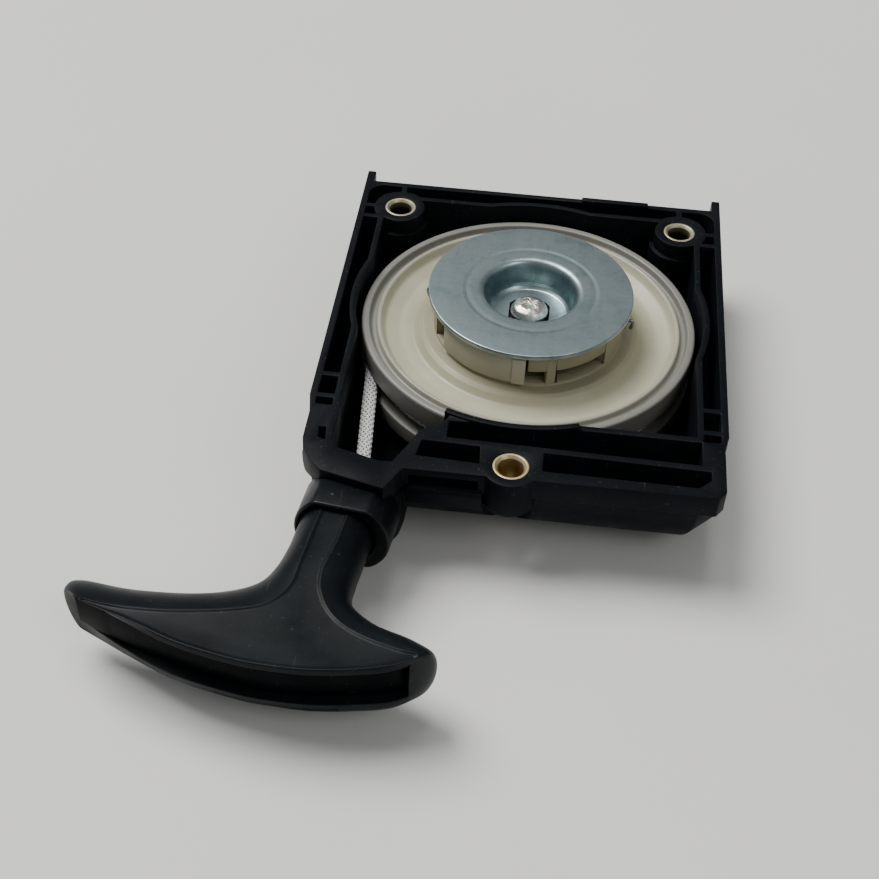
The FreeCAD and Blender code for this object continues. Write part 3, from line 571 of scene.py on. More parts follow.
BUSH_STEEL = plated_metal("bush_steel", (0.42, 0.42, 0.42), (0.55, 0.55, 0.55), (0.28, 0.28, 0.28),
                          0.32, mottle=150.0, brushed=0.5, bumps=0.01)
# Painted shade: the front collar turns darker and warmer down its bore.
BRASS = plated_metal("collar_brass", (0.50, 0.42, 0.24), (0.62, 0.54, 0.35), (0.36, 0.28, 0.13),
                     0.36, metallic=0.8, mottle=260.0, brushed=0.4, bumps=0.02,
                     shade_levels=((PLANE - 2.4, (0.62, 0.46, 0.22)), (PLANE - 0.25, UNSHADED)))
# Painted shade: the back collars turn nearly black down their bores.
DULL_BRASS = plated_metal("collar_brass_dull", (0.40, 0.37, 0.26), (0.50, 0.47, 0.35), (0.28, 0.25, 0.15), 0.42,
                          metallic=0.8, mottle=260.0, brushed=0.4, bumps=0.02,
                          shade_levels=((PLANE - 2.4, (0.09, 0.075, 0.045)), (PLANE - 0.25, UNSHADED)))
ROPE_YARN = rope_fibre("rope_yarn", (0.87, 0.87, 0.85), (0.60, 0.60, 0.58))
ROPE_CORE = rope_fibre("rope_core", (0.035, 0.035, 0.037), (0.012, 0.012, 0.013))


def dress(obj, material):
    obj.data.materials.clear()
    obj.data.materials.append(material)
    return obj


def piece(obj, body, material, slot, *nodes):
    """A visible piece: its finish, the body that it rides on and the CAD nodes that it stands for."""
    dress(obj, material)
    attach(obj, body)
    if nodes:
        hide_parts(*nodes)
    return obj


# ---------------------------------------------------------------- camera, floor and light
CAMERA_PLACE = (0.002704, -0.259045, 0.231848)
CAMERA_AZIMUTH = 4.837
CAMERA_ELEVATION = 44.175
CAMERA_ROLL = 2.387
CAMERA_LENS = 59.62
FLOOR_REACH = 1500.0
FLOOR_CELLS = 6
WORLD_STRENGTH = 0.28
WARM_WHITE = (1.0, 0.99, 0.97)


def studio():
    azimuth = math.radians(CAMERA_AZIMUTH)
    elevation = math.radians(CAMERA_ELEVATION)
    roll = math.radians(CAMERA_ROLL)
    back = Vector((math.sin(azimuth) * math.cos(elevation), -math.cos(azimuth) * math.cos(elevation),
                   math.sin(elevation)))
    level = (-back).cross(Vector((0, 0, 1))).normalized()
    up = level.cross(-back)
    right = level * math.cos(roll) + up * math.sin(roll)
    top = up * math.cos(roll) - level * math.sin(roll)
    lens = bpy.data.cameras.new("camera")
    lens.sensor_width = 36.0
    lens.lens = CAMERA_LENS
    lens.clip_start = 0.01
    camera = bpy.data.objects.new("camera", lens)
    bpy.context.scene.collection.objects.link(camera)
    facing = Matrix((right, top, back)).transposed().to_4x4()
    camera.matrix_world = Matrix.Translation(CAMERA_PLACE) @ facing
    bpy.context.scene.camera = camera

    points = []
    faces = []
    for row in range(FLOOR_CELLS + 1):
        y = (row / FLOOR_CELLS * 2 - 1) * FLOOR_REACH
        for column in range(FLOOR_CELLS + 1):
            points.append(((column / FLOOR_CELLS * 2 - 1) * FLOOR_REACH, y, FLOOR_LEVEL))
    for row in range(FLOOR_CELLS):
        for column in range(FLOOR_CELLS):
            a = row * (FLOOR_CELLS + 1) + column
            faces.append((a, a + 1, a + FLOOR_CELLS + 2, a + FLOOR_CELLS + 1))
    floor = dress(mesh_object("floor", points, faces), floor_finish())

    world = bpy.data.worlds.new("studio")
    world.use_nodes = True
    surroundings = world.node_tree.nodes["Background"]
    surroundings.inputs["Color"].default_value = (0.97, 0.985, 1.0, 1.0)
    surroundings.inputs["Strength"].default_value = WORLD_STRENGTH
    bpy.context.scene.world = world

    def area(name, place, size, power, colour):
        light = bpy.data.lights.new(name, "AREA")
        light.shape = "DISK"
        light.size = size
        light.energy = power
        light.color = colour
        lamp = bpy.data.objects.new(name, light)
        bpy.context.scene.collection.objects.link(lamp)
        lamp.location = place
        lamp.rotation_euler = (-Vector(place)).to_track_quat("-Z", "Y").to_euler()

    area("key", (-1.35, 0.78, 2.6), 1.8, 127.0, (1.0, 0.99, 0.965))
    area("top", (0.05, 0.62, 2.8), 0.8, 12.0, WARM_WHITE)
    area("fill", (1.6, -1.2, 2.0), 1.6, 16.0, WARM_WHITE)


studio()


# ---------------------------------------------------------------- case
def from_cad(name, node, width, degrees=28.0, added=()):
    """A node's own shape, with any added solids, and its sharp edges rounded."""
    bm = bmesh.new()
    bm.from_mesh(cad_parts[node].data)
    bmesh.ops.remove_doubles(bm, verts=bm.verts, dist=CAD_MERGE_DISTANCE)
    mesh = bpy.data.meshes.new(name)
    bm.to_mesh(mesh)
    bm.free()
    shape = new_object(name, mesh)
    if added:
        combine(shape, added, "UNION")
    return soften(shape, width, degrees)


CASE_EDGE = 0.22
GUIDE_EDGE = 0.45
FOOT_OUTER = 6.8
FOOT_INNER = 4.2
FOOT_BOTTOM = 4.0
FOOT_TOP = PLANE - 3.7
FOOT_SPANS = (("left", -114, 4), ("right", 176, 294))
NIB_PLACE = (1.2, 1.6)
NIB_PROFILE = ((0, -0.6), (0.8, -0.6), (0.66, 0.10, 0.4), (0, 0.15))
COLLAR_BORE = 2.7
COLLAR_MOUTH = 0.55


def boss_feet():
    """Wider foot round the reel's side of each back screw boss."""
    feet = []
    for side, start, end in FOOT_SPANS:
        collar = "mount_collar_back_" + side
        centre = (cad_low(collar) + cad_high(collar)) / 2
        foot = sector("foot", FOOT_OUTER, FOOT_INNER, start, end, FOOT_BOTTOM, FOOT_TOP)
        foot.data.transform(Matrix.Translation(Vector((centre.x, centre.y, 0)) * MM))
        feet.append(foot)
    return feet


def case():
    shell = from_cad("case_shell", "starter_case", CASE_EDGE, added=boss_feet())
    piece(shell, "case", CASE_BLACK, "black_plastic", "starter_case")


def rope_guide():
    sleeve = from_cad("rope_guide_socket", "rope_guide", GUIDE_EDGE)
    nib = smooth(lathe("nib", NIB_PROFILE, 32), 70)
    height = cad_high("rope_guide").z - GUIDE_POINT.z
    nib.data.transform(Matrix.Translation(Vector((*NIB_PLACE, height)) * MM))
    put_on_handle(nib)
    piece(join("rope_guide_socket", [sleeve, nib]), "case", GUIDE_BLACK, "black_plastic_satin", "rope_guide")


def collars():
    for place in ("back_left", "back_right", "front"):
        node = "mount_collar_" + place
        low = cad_low(node)
        high = cad_high(node)
        outer = (high.x - low.x) / 2
        profile = (
            (COLLAR_BORE, low.z, 0.0), (outer, low.z, 0.3), (outer, high.z, 0.22),
            (COLLAR_BORE + COLLAR_MOUTH, high.z, 0.2), (COLLAR_BORE, high.z - 0.6, 0.2),
        )
        collar = smooth(lathe("collar_" + place, profile, 96), 50)
        centre = Vector(((high.x + low.x) / 2, (high.y + low.y) / 2, 0))
        collar.data.transform(Matrix.Translation(centre * MM))
        piece(collar, "case", BRASS if place == "front" else DULL_BRASS, "brass", node)


# ---------------------------------------------------------------- reel
REEL_TOP = PLANE - 3.8  # rim of the upper flange
REEL_BOTTOM = PLANE - 18.0  # underside of the lower flange
BORE_RADIUS = 8.0
BOSS_RADIUS = 9.6
BOSS_BOTTOM = REEL_BOTTOM - 1.8
CASSETTE_RADIUS = 22.3  # recess in the underside for the spring
CASSETTE_ROOF = PLANE - 12.2
DRUM_RADIUS = 23.6
GROOVE_RADIUS = 37.0  # where each flange's face in the groove begins to round
GROOVE_LOW = PLANE - 13.6
GROOVE_HIGH = PLANE - 9.6
SEAT_RADIUS = 11.0
SEAT_LEVEL = PLANE - 4.65
PIN_TOP = PLANE + 3.1
WALL_HOLE_TOP = PLANE - 0.8
# Windows in the hub's wall: degrees from a pawl's pivot, then the lowest and highest level.
WINDOWS = (
    (-12, 61, HUB_FLOOR + 0.01, HUB_TOP + 2), (60, 72, HUB_FLOOR + 0.01, WALL_HOLE_TOP),
    (78, 113, HUB_FLOOR + 0.01, WALL_HOLE_TOP), (-42, -33, PLANE - 1.4, PLANE + 1.7),
)


def reel():
    top = REEL_TOP
    radius = REEL_RADIUS
    underside = (
        (BORE_RADIUS, BOSS_BOTTOM), (BOSS_RADIUS, BOSS_BOTTOM, 0.2), (BOSS_RADIUS, CASSETTE_ROOF),
        (CASSETTE_RADIUS, CASSETTE_ROOF), (CASSETTE_RADIUS, REEL_BOTTOM, 0.2),
    )
    groove = (
        (radius, REEL_BOTTOM, 0.7), (radius, GROOVE_LOW - 0.2, 0.5), (GROOVE_RADIUS, GROOVE_LOW, 0.4),
        (DRUM_RADIUS, GROOVE_LOW), (DRUM_RADIUS, GROOVE_HIGH), (GROOVE_RADIUS, GROOVE_HIGH, 0.4),
        (radius, GROOVE_HIGH + 0.3, 0.5),
    )
    rim = (
        (radius, top, 0.75), (36.3, top, 0.5), (35.9, top - 1.5, 0.6), (34.9, top - 1.5, 0.6),
        (34.5, top - 0.3, 0.5), (33.7, top - 0.3, 0.7),
    )
    dish = (
        (32.6, top - 2.1, 1.6), (29.4, top - 3.3, 3.0), (26.2, top - 3.1, 1.2), (25.0, top - 1.75, 1.0),
        (24.0, top - 1.15, 0.8), (HUB_RADIUS, top - 0.9, 0.5),
    )
    hub = (
        (HUB_RADIUS, HUB_TOP, 0.3), (HUB_INNER, HUB_TOP, 0.2), (HUB_INNER, HUB_FLOOR),
        (SEAT_RADIUS, HUB_FLOOR), (SEAT_RADIUS, SEAT_LEVEL), (BORE_RADIUS, SEAT_LEVEL),
    )
    body = lathe("reel_wheel", underside + groove + rim + dish + hub, 240, 5)
    cutters = []
    for angle in PAWL_PIVOT_ANGLES:
        for start, end, low, high in WINDOWS:
            span = (angle + start, angle + end)
            cutters.append(sector("window", HUB_RADIUS + 1, HUB_INNER - 1, *span, low, high))
    cut(body, *cutters)
    pin_low = HUB_FLOOR - 0.5
    outline = ((0, pin_low), (PAWL_PIN_RADIUS, pin_low), (PAWL_PIN_RADIUS, PIN_TOP, 0.3), (0, PIN_TOP))
    pivots = []
    for angle in PAWL_PIVOT_ANGLES:
        pin = lathe("pivot", outline, 48)
        pin.data.transform(Matrix.Translation(polar(PAWL_PIVOT_RADIUS, angle) * MM))
        pivots.append(pin)
    combine(body, pivots, "UNION")
    soften(body, 0.18, 60)
    piece(body, "reel", IVORY, "ivory_plastic", "reel", "reel_hub")


PAWL_SWEEP = 59.5  # degrees from the pivot to the pawl's tip
PAWL_TIP_SWEEP = 7.5
PAWL_ARM = (HUB_RADIUS + 0.7, 17.4)  # outer and inner radius
PAWL_TIP = (HUB_RADIUS + 1.1, 15.6)
PAWL_EYE = 3.2
PAWL_BORE = 1.66
SPRING_SEAT = (2.3, 4.4)  # inner and outer radius of the ring cut for the spring
SPRING_SEAT_FLOOR = PLANE + 0.9


def pawls():
    low = HUB_FLOOR + 0.35
    high = HUB_TOP - 0.15
    for number, angle in enumerate(PAWL_PIVOT_ANGLES, 1):
        end = angle + PAWL_SWEEP
        arm = sector("pawl_%d_arm" % number, *PAWL_ARM, angle + 3, end, low, high, 40)
        tip = sector("tip", *PAWL_TIP, end - PAWL_TIP_SWEEP, end, low, high)
        eye = lathe("eye", ((0, low), (PAWL_EYE, low), (PAWL_EYE, high), (0, high)), 72)
        bore = lathe("bore", ((0, low - 1), (PAWL_BORE, low - 1), (PAWL_BORE, high + 1), (0, high + 1)), 48)
        inner, outer = SPRING_SEAT
        seat = lathe("seat", ((inner, SPRING_SEAT_FLOOR), (outer, SPRING_SEAT_FLOOR), (outer, high + 1),
                              (inner, high + 1)), 72)
        for other in (eye, bore, seat):
            other.data.transform(Matrix.Translation(polar(PAWL_PIVOT_RADIUS, angle) * MM))
        combine(arm, [tip, eye], "UNION")
        cut(arm, bore, seat)
        soften(arm, 0.22)
        piece(arm, "pawl_%d" % number, PAWL_WHITE, "pawl_plastic", "pawl_%d" % number)


SPRING_WIRE = 0.4
SPRING_COIL = 2.95
SPRING_TURNS = 2.75
SPRING_STEPS = 72
SPRING_LEVEL = PLANE + 1.35
SPRING_RISE = 1.32  # from the last turn to the first
TAIL_LEVEL = PLANE + 0.6
TAIL_HOOK = 2.2


def pawl_springs():
    for number, angle in enumerate(PAWL_PIVOT_ANGLES, 1):
        pivot = polar(PAWL_PIVOT_RADIUS, angle)
        facing = math.radians(angle - 90)
        path = []
        for step in range(SPRING_STEPS + 1):
            left = 1 - step / SPRING_STEPS
            turn = facing + 2 * math.pi * SPRING_TURNS * left
            height = SPRING_LEVEL + SPRING_RISE * left
            path.append(pivot + Vector((SPRING_COIL * math.cos(turn), SPRING_COIL * math.sin(turn), height)))
        inside = polar(HUB_INNER - 1.2, angle - 36, TAIL_LEVEL)
        end = polar(HUB_RADIUS + 1.7, angle - 38, TAIL_LEVEL)
        hook = end - Vector((0, 0, TAIL_HOOK))
        tail = spline([path[-1], inside, end, hook], 8)
        wire_piece = tube("pawl_%d_torsion_wire" % number, path + tail[1:], SPRING_WIRE, 10)
        piece(wire_piece, "reel", SPRING_STEEL, "spring_steel", "pawl_spring_%d" % number)


# ---------------------------------------------------------------- plate and screw
CUP_BASE = 9.3  # radius of the cup at its foot
PLATE_HOLE = 5.4
PLATE_HOLE_FLAT = 4.6  # half the width between the hole's flats
CUTTER_REACH = 9


def friction_plate():
    mouth = CUP_MOUTH
    base = CUP_BASE
    floor = CUP_FLOOR
    top = PLATE_TOP
    under = top - PLATE_GAUGE
    underside = (
        (3.0, floor - PLATE_GAUGE), (base + PLATE_GAUGE, floor - PLATE_GAUGE, 1.0),
        (mouth + PLATE_GAUGE - 0.1, under, 0.9), (PLATE_RADIUS, under, 0.25),
    )
    face = ((PLATE_RADIUS, top, 0.3), (15.4, top, 2.0), (14.6, top - 0.10, 1.0), (13.6, top - 0.05, 1.0))
    cup = (
        (mouth + 0.2, top - 0.03, 2.2), (base + 0.15, floor + 1.35, 0.9), (base - 0.2, floor + 0.6, 0.6),
        (base - 0.9, floor, 0.8), (3.0, floor),
    )
    plate = lathe("retainer_plate", underside + face + cup, 240, 6)
    hole = lathe("hole", ((0, floor - 4), (PLATE_HOLE, floor - 4), (PLATE_HOLE, floor + 1), (0, floor + 1)), 96)
    sides = []
    for near, far in ((-CUTTER_REACH, -PLATE_HOLE_FLAT), (PLATE_HOLE_FLAT, CUTTER_REACH)):
        sides.append(block("side", (near, -CUTTER_REACH, floor - 5), (far, CUTTER_REACH, floor + 2)))
    cut(hole, *sides)
    cut(plate, hole)
    smooth(plate, 40)
    piece(plate, "case", ZINC, "zinc_plate", "friction_plate")


SCREW_HEAD = 4.2
SCREW_SHANK = 1.86
SCREW_END = PLANE - 16
SCREW_TURN = 0.5  # radians
SLOT_WIDTH = 1.1
SLOT_LENGTH = 4.2
DENT_DEPTH = 0.11


def centre_screw():
    seat = CUP_FLOOR
    head = SCREW_HEAD
    profile = (
        (0, SCREW_END), (SCREW_SHANK, SCREW_END, 0.2), (SCREW_SHANK, seat), (head, seat, 0.2),
        (head + 0.02, seat + 0.9, 0.5), (head - 0.7, seat + 2.05, 1.0), (head - 2.0, seat + 2.6, 0.8),
        (0, seat + 2.75),
    )
    screw = lathe("screw", profile, 96, 6)
    slots = []
    for width, length in ((SLOT_WIDTH, SLOT_LENGTH), (SLOT_LENGTH, SLOT_WIDTH)):
        slot = block("slot", (-width / 2, -length / 2, seat + 1.9), (width / 2, length / 2, PLANE + 2))
        slot.data.transform(Matrix.Rotation(SCREW_TURN, 4, "Z"))
        slots.append(slot)
    cut(screw, *slots)
    soften(screw, 0.22, 40, 3)
    for vertex in screw.data.vertices:
        if vertex.co.z > (seat + 1.2) * MM:
            dent = noise_at(vertex.co * 620.0) + 0.5 * noise_at(vertex.co * 1500.0)
            vertex.co.z += DENT_DEPTH * MM * min(dent, 0.6)
    piece(screw, "case", SCREW_ZINC, "zinc_screw", "centre_screw")


CLIP_WIRE = 0.5
CLIP_GAP = 0.05
CLIP_START = 136
CLIP_SWEEP = 342


def friction_clip():
    radius = CUP_MOUTH + PLATE_GAUGE + CLIP_WIRE + CLIP_GAP
    path = [polar(radius, CLIP_START + CLIP_SWEEP * i / 120, PLANE + 0.4) for i in range(121)]
    clip = tube("friction_clip", path, CLIP_WIRE, 12)
    piece(clip, "case", SPRING_STEEL, "spring_steel", "friction_spring")


# ---------------------------------------------------------------- rope
STRANDS_EACH_WAY = 8
STRAND_CENTRE = 0.845  # shares of the rope's radius, down to CORE_SHARE
STRAND_WAVE = 0.07
STRAND_HALF_DEPTH = 0.085
STRAND_HALF_WIDTH = 0.172
CORE_SHARE = 0.78


def braid(name, path, radius, pitch, spacing, sides=8):
    """Sixteen flat strands, eight each way round, crossing over and under a dark core."""
    length = sum((b - a).length for a, b in zip(path, path[1:]))
    count = int(length / spacing)
    points, frames = along(path, count)
    strands = []
    for direction in (1, -1):
        for k in range(STRANDS_EACH_WAY):
            rings = []
            for i, (here, (across, up, ahead)) in enumerate(zip(points, frames)):
                travelled = length * i / count
                turn = 2 * math.pi * (direction * travelled / pitch + k / STRANDS_EACH_WAY)
                wave = direction * math.cos(math.pi * 2 * STRANDS_EACH_WAY * travelled / pitch)
                out = across * math.cos(turn) + up * math.sin(turn)
                around = (up * math.cos(turn) - across * math.sin(turn)) * direction
                lean = math.atan2(2 * math.pi * radius, pitch)
                width_way = around * math.cos(lean) - ahead * math.sin(lean)
                centre = here + out * (radius * STRAND_CENTRE + radius * STRAND_WAVE * wave)
                ring = []
                for s in range(sides):
                    a = 2 * math.pi * s / sides
                    ring.append(centre + out * (radius * STRAND_HALF_DEPTH * math.sin(a))
                                + width_way * (radius * STRAND_HALF_WIDTH * math.cos(a)))
                rings.append(ring)
            strands.append(skin_rings("strand", rings))
    core = tube("core", points, radius * CORE_SHARE, 16)
    return smooth(join(name, strands), 80), core


def along(path, count):
    """Evenly spaced points on a path, each with a frame that doesn't twist."""
    points = spaced(path, count)
    frames = []
    up = Vector((0, 0, 1))
    for i in range(count + 1):
        ahead = (points[min(i + 1, count)] - points[max(i - 1, 0)]).normalized()
        across = ahead.cross(up).normalized()
        up = across.cross(ahead).normalized()
        frames.append((across, up, ahead))
    return points, frames


def skin_rings(name, rings):
    sides = len(rings[0])
    points = [p for ring in rings for p in ring]
    faces = []
    for i in range(len(rings) - 1):
        for k in range(sides):
            j = (k + 1) % sides
            faces.append((i * sides + k, i * sides + j, (i + 1) * sides + j, (i + 1) * sides + k))
    faces.append(tuple(range(sides)))
    faces.append(tuple(range((len(rings) - 1) * sides, len(rings) * sides)))
    return mesh_object(name, points, faces)


ROPE_TURN_RADIUS = 34.8
ROPE_LAY = 12.6  # length in which a strand goes round once
ROPE_TURN_IN = Vector((-31.7, -44.5, PLANE - 11.2))
ROPE_EYE_IN = Vector((-32.5, -55.2, PLANE - 10.0))
ROPE_IN_NECK = 4.0
INNER_TURNS = 3


def handle_way():
    """Direction in which the handle is pulled."""
    return Vector((-math.sin(GUIDE_YAW), -math.cos(GUIDE_YAW), 0))


def rope_path():
    """From the outermost turn's tangent point, through the outlet block, to the handle's neck."""
    reach = math.hypot(ROPE_TURN_IN.x, ROPE_TURN_IN.y)
    swing = math.degrees(math.acos(ROPE_TURN_RADIUS / reach))
    facing = math.degrees(math.atan2(ROPE_TURN_IN.y, ROPE_TURN_IN.x))
    start = polar(ROPE_TURN_RADIUS, facing - swing, ROPE_LEVEL)
    end = GUIDE_POINT + handle_way() * ROPE_IN_NECK
    middle = start.lerp(ROPE_TURN_IN, 0.55)
    return spline([start, middle, ROPE_TURN_IN, ROPE_EYE_IN, GUIDE_POINT, end], 12)


def ropes():
    yarns, core = braid("rope_run_braid", rope_path(), ROPE_RADIUS, ROPE_LAY, 0.17)
    for obj, material, nodes in ((yarns, ROPE_YARN, ("rope_run",)), (core, ROPE_CORE, ())):
        obj.name = "rope_run_braid" if nodes else "rope_run_core"
        dress(obj, material)
        if nodes:
            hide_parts(*nodes)
        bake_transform(obj)
    turns = []
    for turn in range(1, INNER_TURNS + 1):
        radius = ROPE_TURN_RADIUS - turn * 2 * ROPE_RADIUS
        circle = [polar(radius, 360 * i / 160, ROPE_LEVEL) for i in range(160)]
        turns.append(tube("turn", circle, ROPE_RADIUS, 16, closed=True))
    piece(smooth(join("rope_inner_turns", turns)), "reel", ROPE_YARN, "rope")
    circle = [polar(ROPE_TURN_RADIUS, 360 * i / 240, ROPE_LEVEL) for i in range(241)]
    yarns, core = braid("rope_outer_turn", circle, ROPE_RADIUS, ROPE_LAY, 0.36, 6)
    core.name = "rope_outer_core"
    piece(yarns, "reel", ROPE_YARN, "rope", "rope_winding")
    piece(core, "reel", ROPE_CORE, "rope")


# ---------------------------------------------------------------- handle
# Plan outlines in the handle's own frame: X to the long arm, Y outwards, at the top face, the widest
# level and the bottom face.
NECK_RADIUS = 7.6
NECK_START = 2.4
HALF_HEIGHT = 7.0
NECK_FLAT = math.sqrt(NECK_RADIUS ** 2 - HALF_HEIGHT ** 2)
TOP = (
    ((-NECK_FLAT, 12.0), (-2.4, 17.8), (-2.35, 20.2), (-3.3, 24.4), (-6.0, 28.6), (-10.0, 31.6), (-16.0, 33.5),
     (-24.4, 34.6)),
    ((-25.0, 35.4), (-20.8, 38.4), (-14.0, 41.2), (-6.5, 43.2), (1.0, 44.2), (8.0, 44.4), (18.5, 43.4),
     (27.4, 41.3), (39.4, 38.8)),
    ((39.4, 38.1), (34.8, 38.1), (29.9, 37.6), (23.2, 36.5), (15.7, 34.5), (8.6, 31.9), (5.0, 29.2), (3.0, 24.8),
     (NECK_FLAT, 18.4), (NECK_FLAT, 12.0)),
)
MIDDLE = (
    ((-NECK_RADIUS, 12.0), (-NECK_RADIUS, 16.4), (-8.0, 20.8), (-9.9, 23.8), (-15.2, 26.6), (-22.0, 28.0),
     (-27.2, 30.2)),
    ((-27.7, 32.6), (-21.8, 38.6), (-14.0, 41.6), (-6.5, 43.6), (1.0, 44.6), (8.0, 44.8), (21.0, 43.4),
     (33.0, 39.4), (45.9, 33.6)),
    ((45.4, 30.8), (42.1, 29.9), (33.9, 29.9), (23.8, 28.4), (16.8, 26.2), (10.8, 22.7), (8.4, 17.8),
     (NECK_RADIUS, 12.0)),
)
BOTTOM = (
    ((-NECK_FLAT, 12.0), (-3.4, 17.0), (-4.6, 22.6), (-8.8, 27.6), (-17.0, 30.4), (-25.0, 32.6)),
    ((-25.4, 33.4), (-20.4, 37.8), (-14.0, 40.2), (-6.5, 42.2), (1.0, 43.0), (8.0, 43.2), (20.0, 42.0),
     (31.0, 39.0), (43.4, 34.8)),
    ((43.2, 32.8), (30.0, 32.4), (14.5, 29.0), (7.0, 23.0), (3.4, 17.0), (NECK_FLAT, 12.0)),
)
CORNERS = (1.6, 2.2, 1.2, 1.2, 0.7, 0.7)
SIDE_SAMPLES = (72, 4, 72, 4, 72, 8)
CAP_FRONT = (
    (-23.4, 36.3), (-19.8, 38.9), (-10.0, 42.2), (0.0, 44.05), (8.0, 44.25), (20.0, 43.0), (33.0, 40.2),
    (42.0, 36.45),
)
CAP_LOW = -3.4
CAP_HIGH = 5.6
CAP_GAP = 0.08  # round the panel, above and below
CAP_DEPTHS = (1.6, 3.2)  # the panel's front and back, behind the grip's front
RECESS_DEPTH = 3.3
TAPER_START = 34.0  # where the recess begins to get shallower
TAPER_LENGTH = 8.0
TAPER_LOSS = 0.64
OUTSIDE = -8.0  # a cutter's near side, clear of the grip
NOTCH_DEPTH = 0.7
NOTCH_TOP = -4.9
NOTCH_SPAN = (0.27, 0.63)  # shares of the front's length
ROPE_BORE = 2.4
ROPE_BORE_END = 26
SOFT_BOX = ((-24.4, 20.0, -6.6), (43.2, 60.0, 6.3))  # only the recess's edges are rounded
# Insets from the top outline and heights from the top face: the raised border, then the sunken face.
TOP_RINGS = ((0.10, -0.02), (0.24, 0.0), (0.42, -0.02), (0.60, -0.12), (0.85, -0.22), (1.1, -0.24))
DEEPEST_INSET = 1.1


def flat_spline(points, samples=14):
    return spline([Vector(p) for p in points], samples)


def handle_outline(level):
    """One closed outline with a fixed number of points, its six corners rounded."""
    short, front, long = level
    near_short = Vector((short[0][0], NECK_START))
    near_long = Vector((long[-1][0], NECK_START))
    sides = [
        [near_short] + flat_spline(short),
        [Vector(short[-1]), Vector(front[0])],
        flat_spline(front),
        [Vector(front[-1]), Vector(long[0])],
        flat_spline(long) + [near_long],
        [near_long, near_short],
    ]
    outline = []
    for i, side in enumerate(sides):
        before = CORNERS[i - 1]
        after = CORNERS[i]
        run = spaced(side, SIDE_SAMPLES[i], before, after)
        outline.extend(run)
        following = sides[(i + 1) % len(sides)]
        reach = spaced(following, 1, after, after)[0]
        corner = side[-1]
        for t in (0.2, 0.4, 0.6, 0.8):
            outline.append(run[-1] * (1 - t) ** 2 + corner * (2 * t * (1 - t)) + reach * t ** 2)
    return outline


def local_width(outline):
    """For each point, how far off the outline's other side is."""
    count = len(outline)
    widths = []
    for i, point in enumerate(outline):
        others = (outline[(i + k) % count] for k in range(10, count - 9))
        widths.append(min((point - other).length for other in others))
    for _ in range(3):
        widths = [min(w, (widths[i - 1] + w + widths[(i + 1) % count]) / 3) for i, w in enumerate(widths)]
    return widths


def inset(outline, depth):
    """Outline moved inwards, by less where the shape is too narrow for it."""
    count = len(outline)
    widths = local_width(outline)
    area = sum(a.x * b.y - b.x * a.y for a, b in zip(outline, outline[1:] + outline[:1]))
    side = 1.0 if area > 0 else -1.0
    result = []
    for i, point in enumerate(outline):
        ahead = (outline[(i + 2) % count] - outline[i - 2]).normalized()
        step = min(depth, widths[i] * 0.38 * depth / DEEPEST_INSET)
        result.append(point + Vector((-ahead.y, ahead.x)) * step * side)
    return result


def handle_shell():
    top, middle, bottom = (handle_outline(level) for level in (TOP, MIDDLE, BOTTOM))
    tilt = math.asin(HALF_HEIGHT / NECK_RADIUS)
    least = math.cos(tilt)
    rings = [(inset(bottom, 0.5), -HALF_HEIGHT), (inset(bottom, 0.12), -HALF_HEIGHT + 0.03)]
    steps = 28
    for step in range(steps + 1):
        angle = -tilt + 2 * tilt * step / steps
        share = (math.cos(angle) - least) / (1 - least)
        edge = top if angle > 0 else bottom
        height = NECK_RADIUS * math.sin(angle)
        height = min(max(height, -HALF_HEIGHT + 0.12), HALF_HEIGHT - 0.12)
        rings.append(([e.lerp(m, share) for e, m in zip(edge, middle)], height))
    for depth, height in TOP_RINGS:
        rings.append((inset(top, depth), HALF_HEIGHT + height))
    points = []
    faces = []
    count = len(top)
    for outline, height in rings:
        points.extend((p.x, p.y, height) for p in outline)
    for level in range(len(rings) - 1):
        here = level * count
        above = here + count
        for i in range(count):
            j = (i + 1) % count
            faces.append((here + i, here + j, above + j, above + i))
    faces.append(tuple(range(count)))
    faces.append(tuple(range((len(rings) - 1) * count, len(rings) * count)))
    return mesh_object("handle_grip", points, faces)


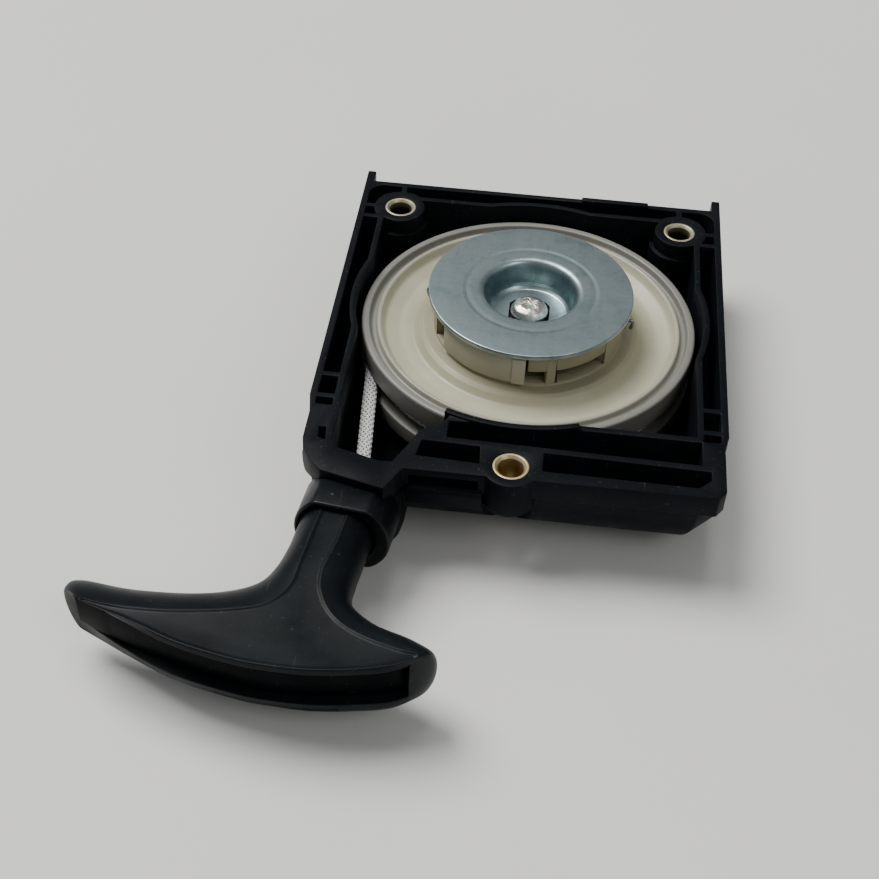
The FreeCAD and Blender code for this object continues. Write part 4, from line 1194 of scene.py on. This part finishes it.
def front_strip(name, near, far, low, high, start=0.0, end=1.0):
    """Curved strip that follows the grip's front, between two depths behind it, shallower at the long tip."""
    curve = flat_spline(CAP_FRONT, 16)
    count = len(curve) - 1
    curve = curve[int(start * count):int(end * count) + 1]
    shares = [1.0 - TAPER_LOSS * min(max((p.x - TAPER_START) / TAPER_LENGTH, 0.0), 1.0) for p in curve]
    outer = [p - Vector((0, near * (share if near > 0 else 1.0))) for p, share in zip(curve, shares)]
    inner = [p - Vector((0, far * share)) for p, share in reversed(list(zip(curve, shares)))]
    return prism(name, outer + inner, low, high)


def handle():
    grip = handle_shell()
    recess = front_strip("recess", OUTSIDE, RECESS_DEPTH, CAP_LOW, CAP_HIGH)
    notch = front_strip("notch", OUTSIDE, NOTCH_DEPTH, OUTSIDE, NOTCH_TOP, *NOTCH_SPAN)
    bore = lathe("bore", ((0, 0), (ROPE_BORE, 0), (ROPE_BORE, ROPE_BORE_END), (0, ROPE_BORE_END)), 64)
    bore.data.transform(Matrix.Rotation(-math.pi / 2, 4, "X"))
    cut(grip, recess, notch, bore)
    soften(grip, 0.2, 40, 3, SOFT_BOX)
    put_on_handle(grip)
    piece(grip, "handle", HANDLE_BLACK, "handle_plastic", "handle_body")
    panel = front_strip("handle_front_panel", *CAP_DEPTHS, CAP_LOW + CAP_GAP, CAP_HIGH - CAP_GAP)
    soften(panel, 0.35, 40, 3)
    put_on_handle(panel)
    piece(panel, "handle", CAP_BLACK_SHADED, "handle_cap_plastic", "handle_cap")


# ---------------------------------------------------------------- pieces that keep their CAD shape
def kept_nodes():
    finishes = (
        ("thrust_washer", BUSH_STEEL),
        ("spring_cassette", BUSH_STEEL),
        ("recoil_spring", SPRING_STEEL),
        ("reel_bush", BUSH_STEEL),
        ("reel_rope_knot", ROPE_YARN),
        ("handle_washer", BUSH_STEEL),
        ("handle_rope_knot", ROPE_YARN),
        ("handle_rope", ROPE_YARN),
    )
    for node, material in finishes:
        dress(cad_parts[node], material)


case()
rope_guide()
collars()
reel()
pawls()
pawl_springs()
friction_plate()
centre_screw()
friction_clip()
ropes()
handle()
kept_nodes()
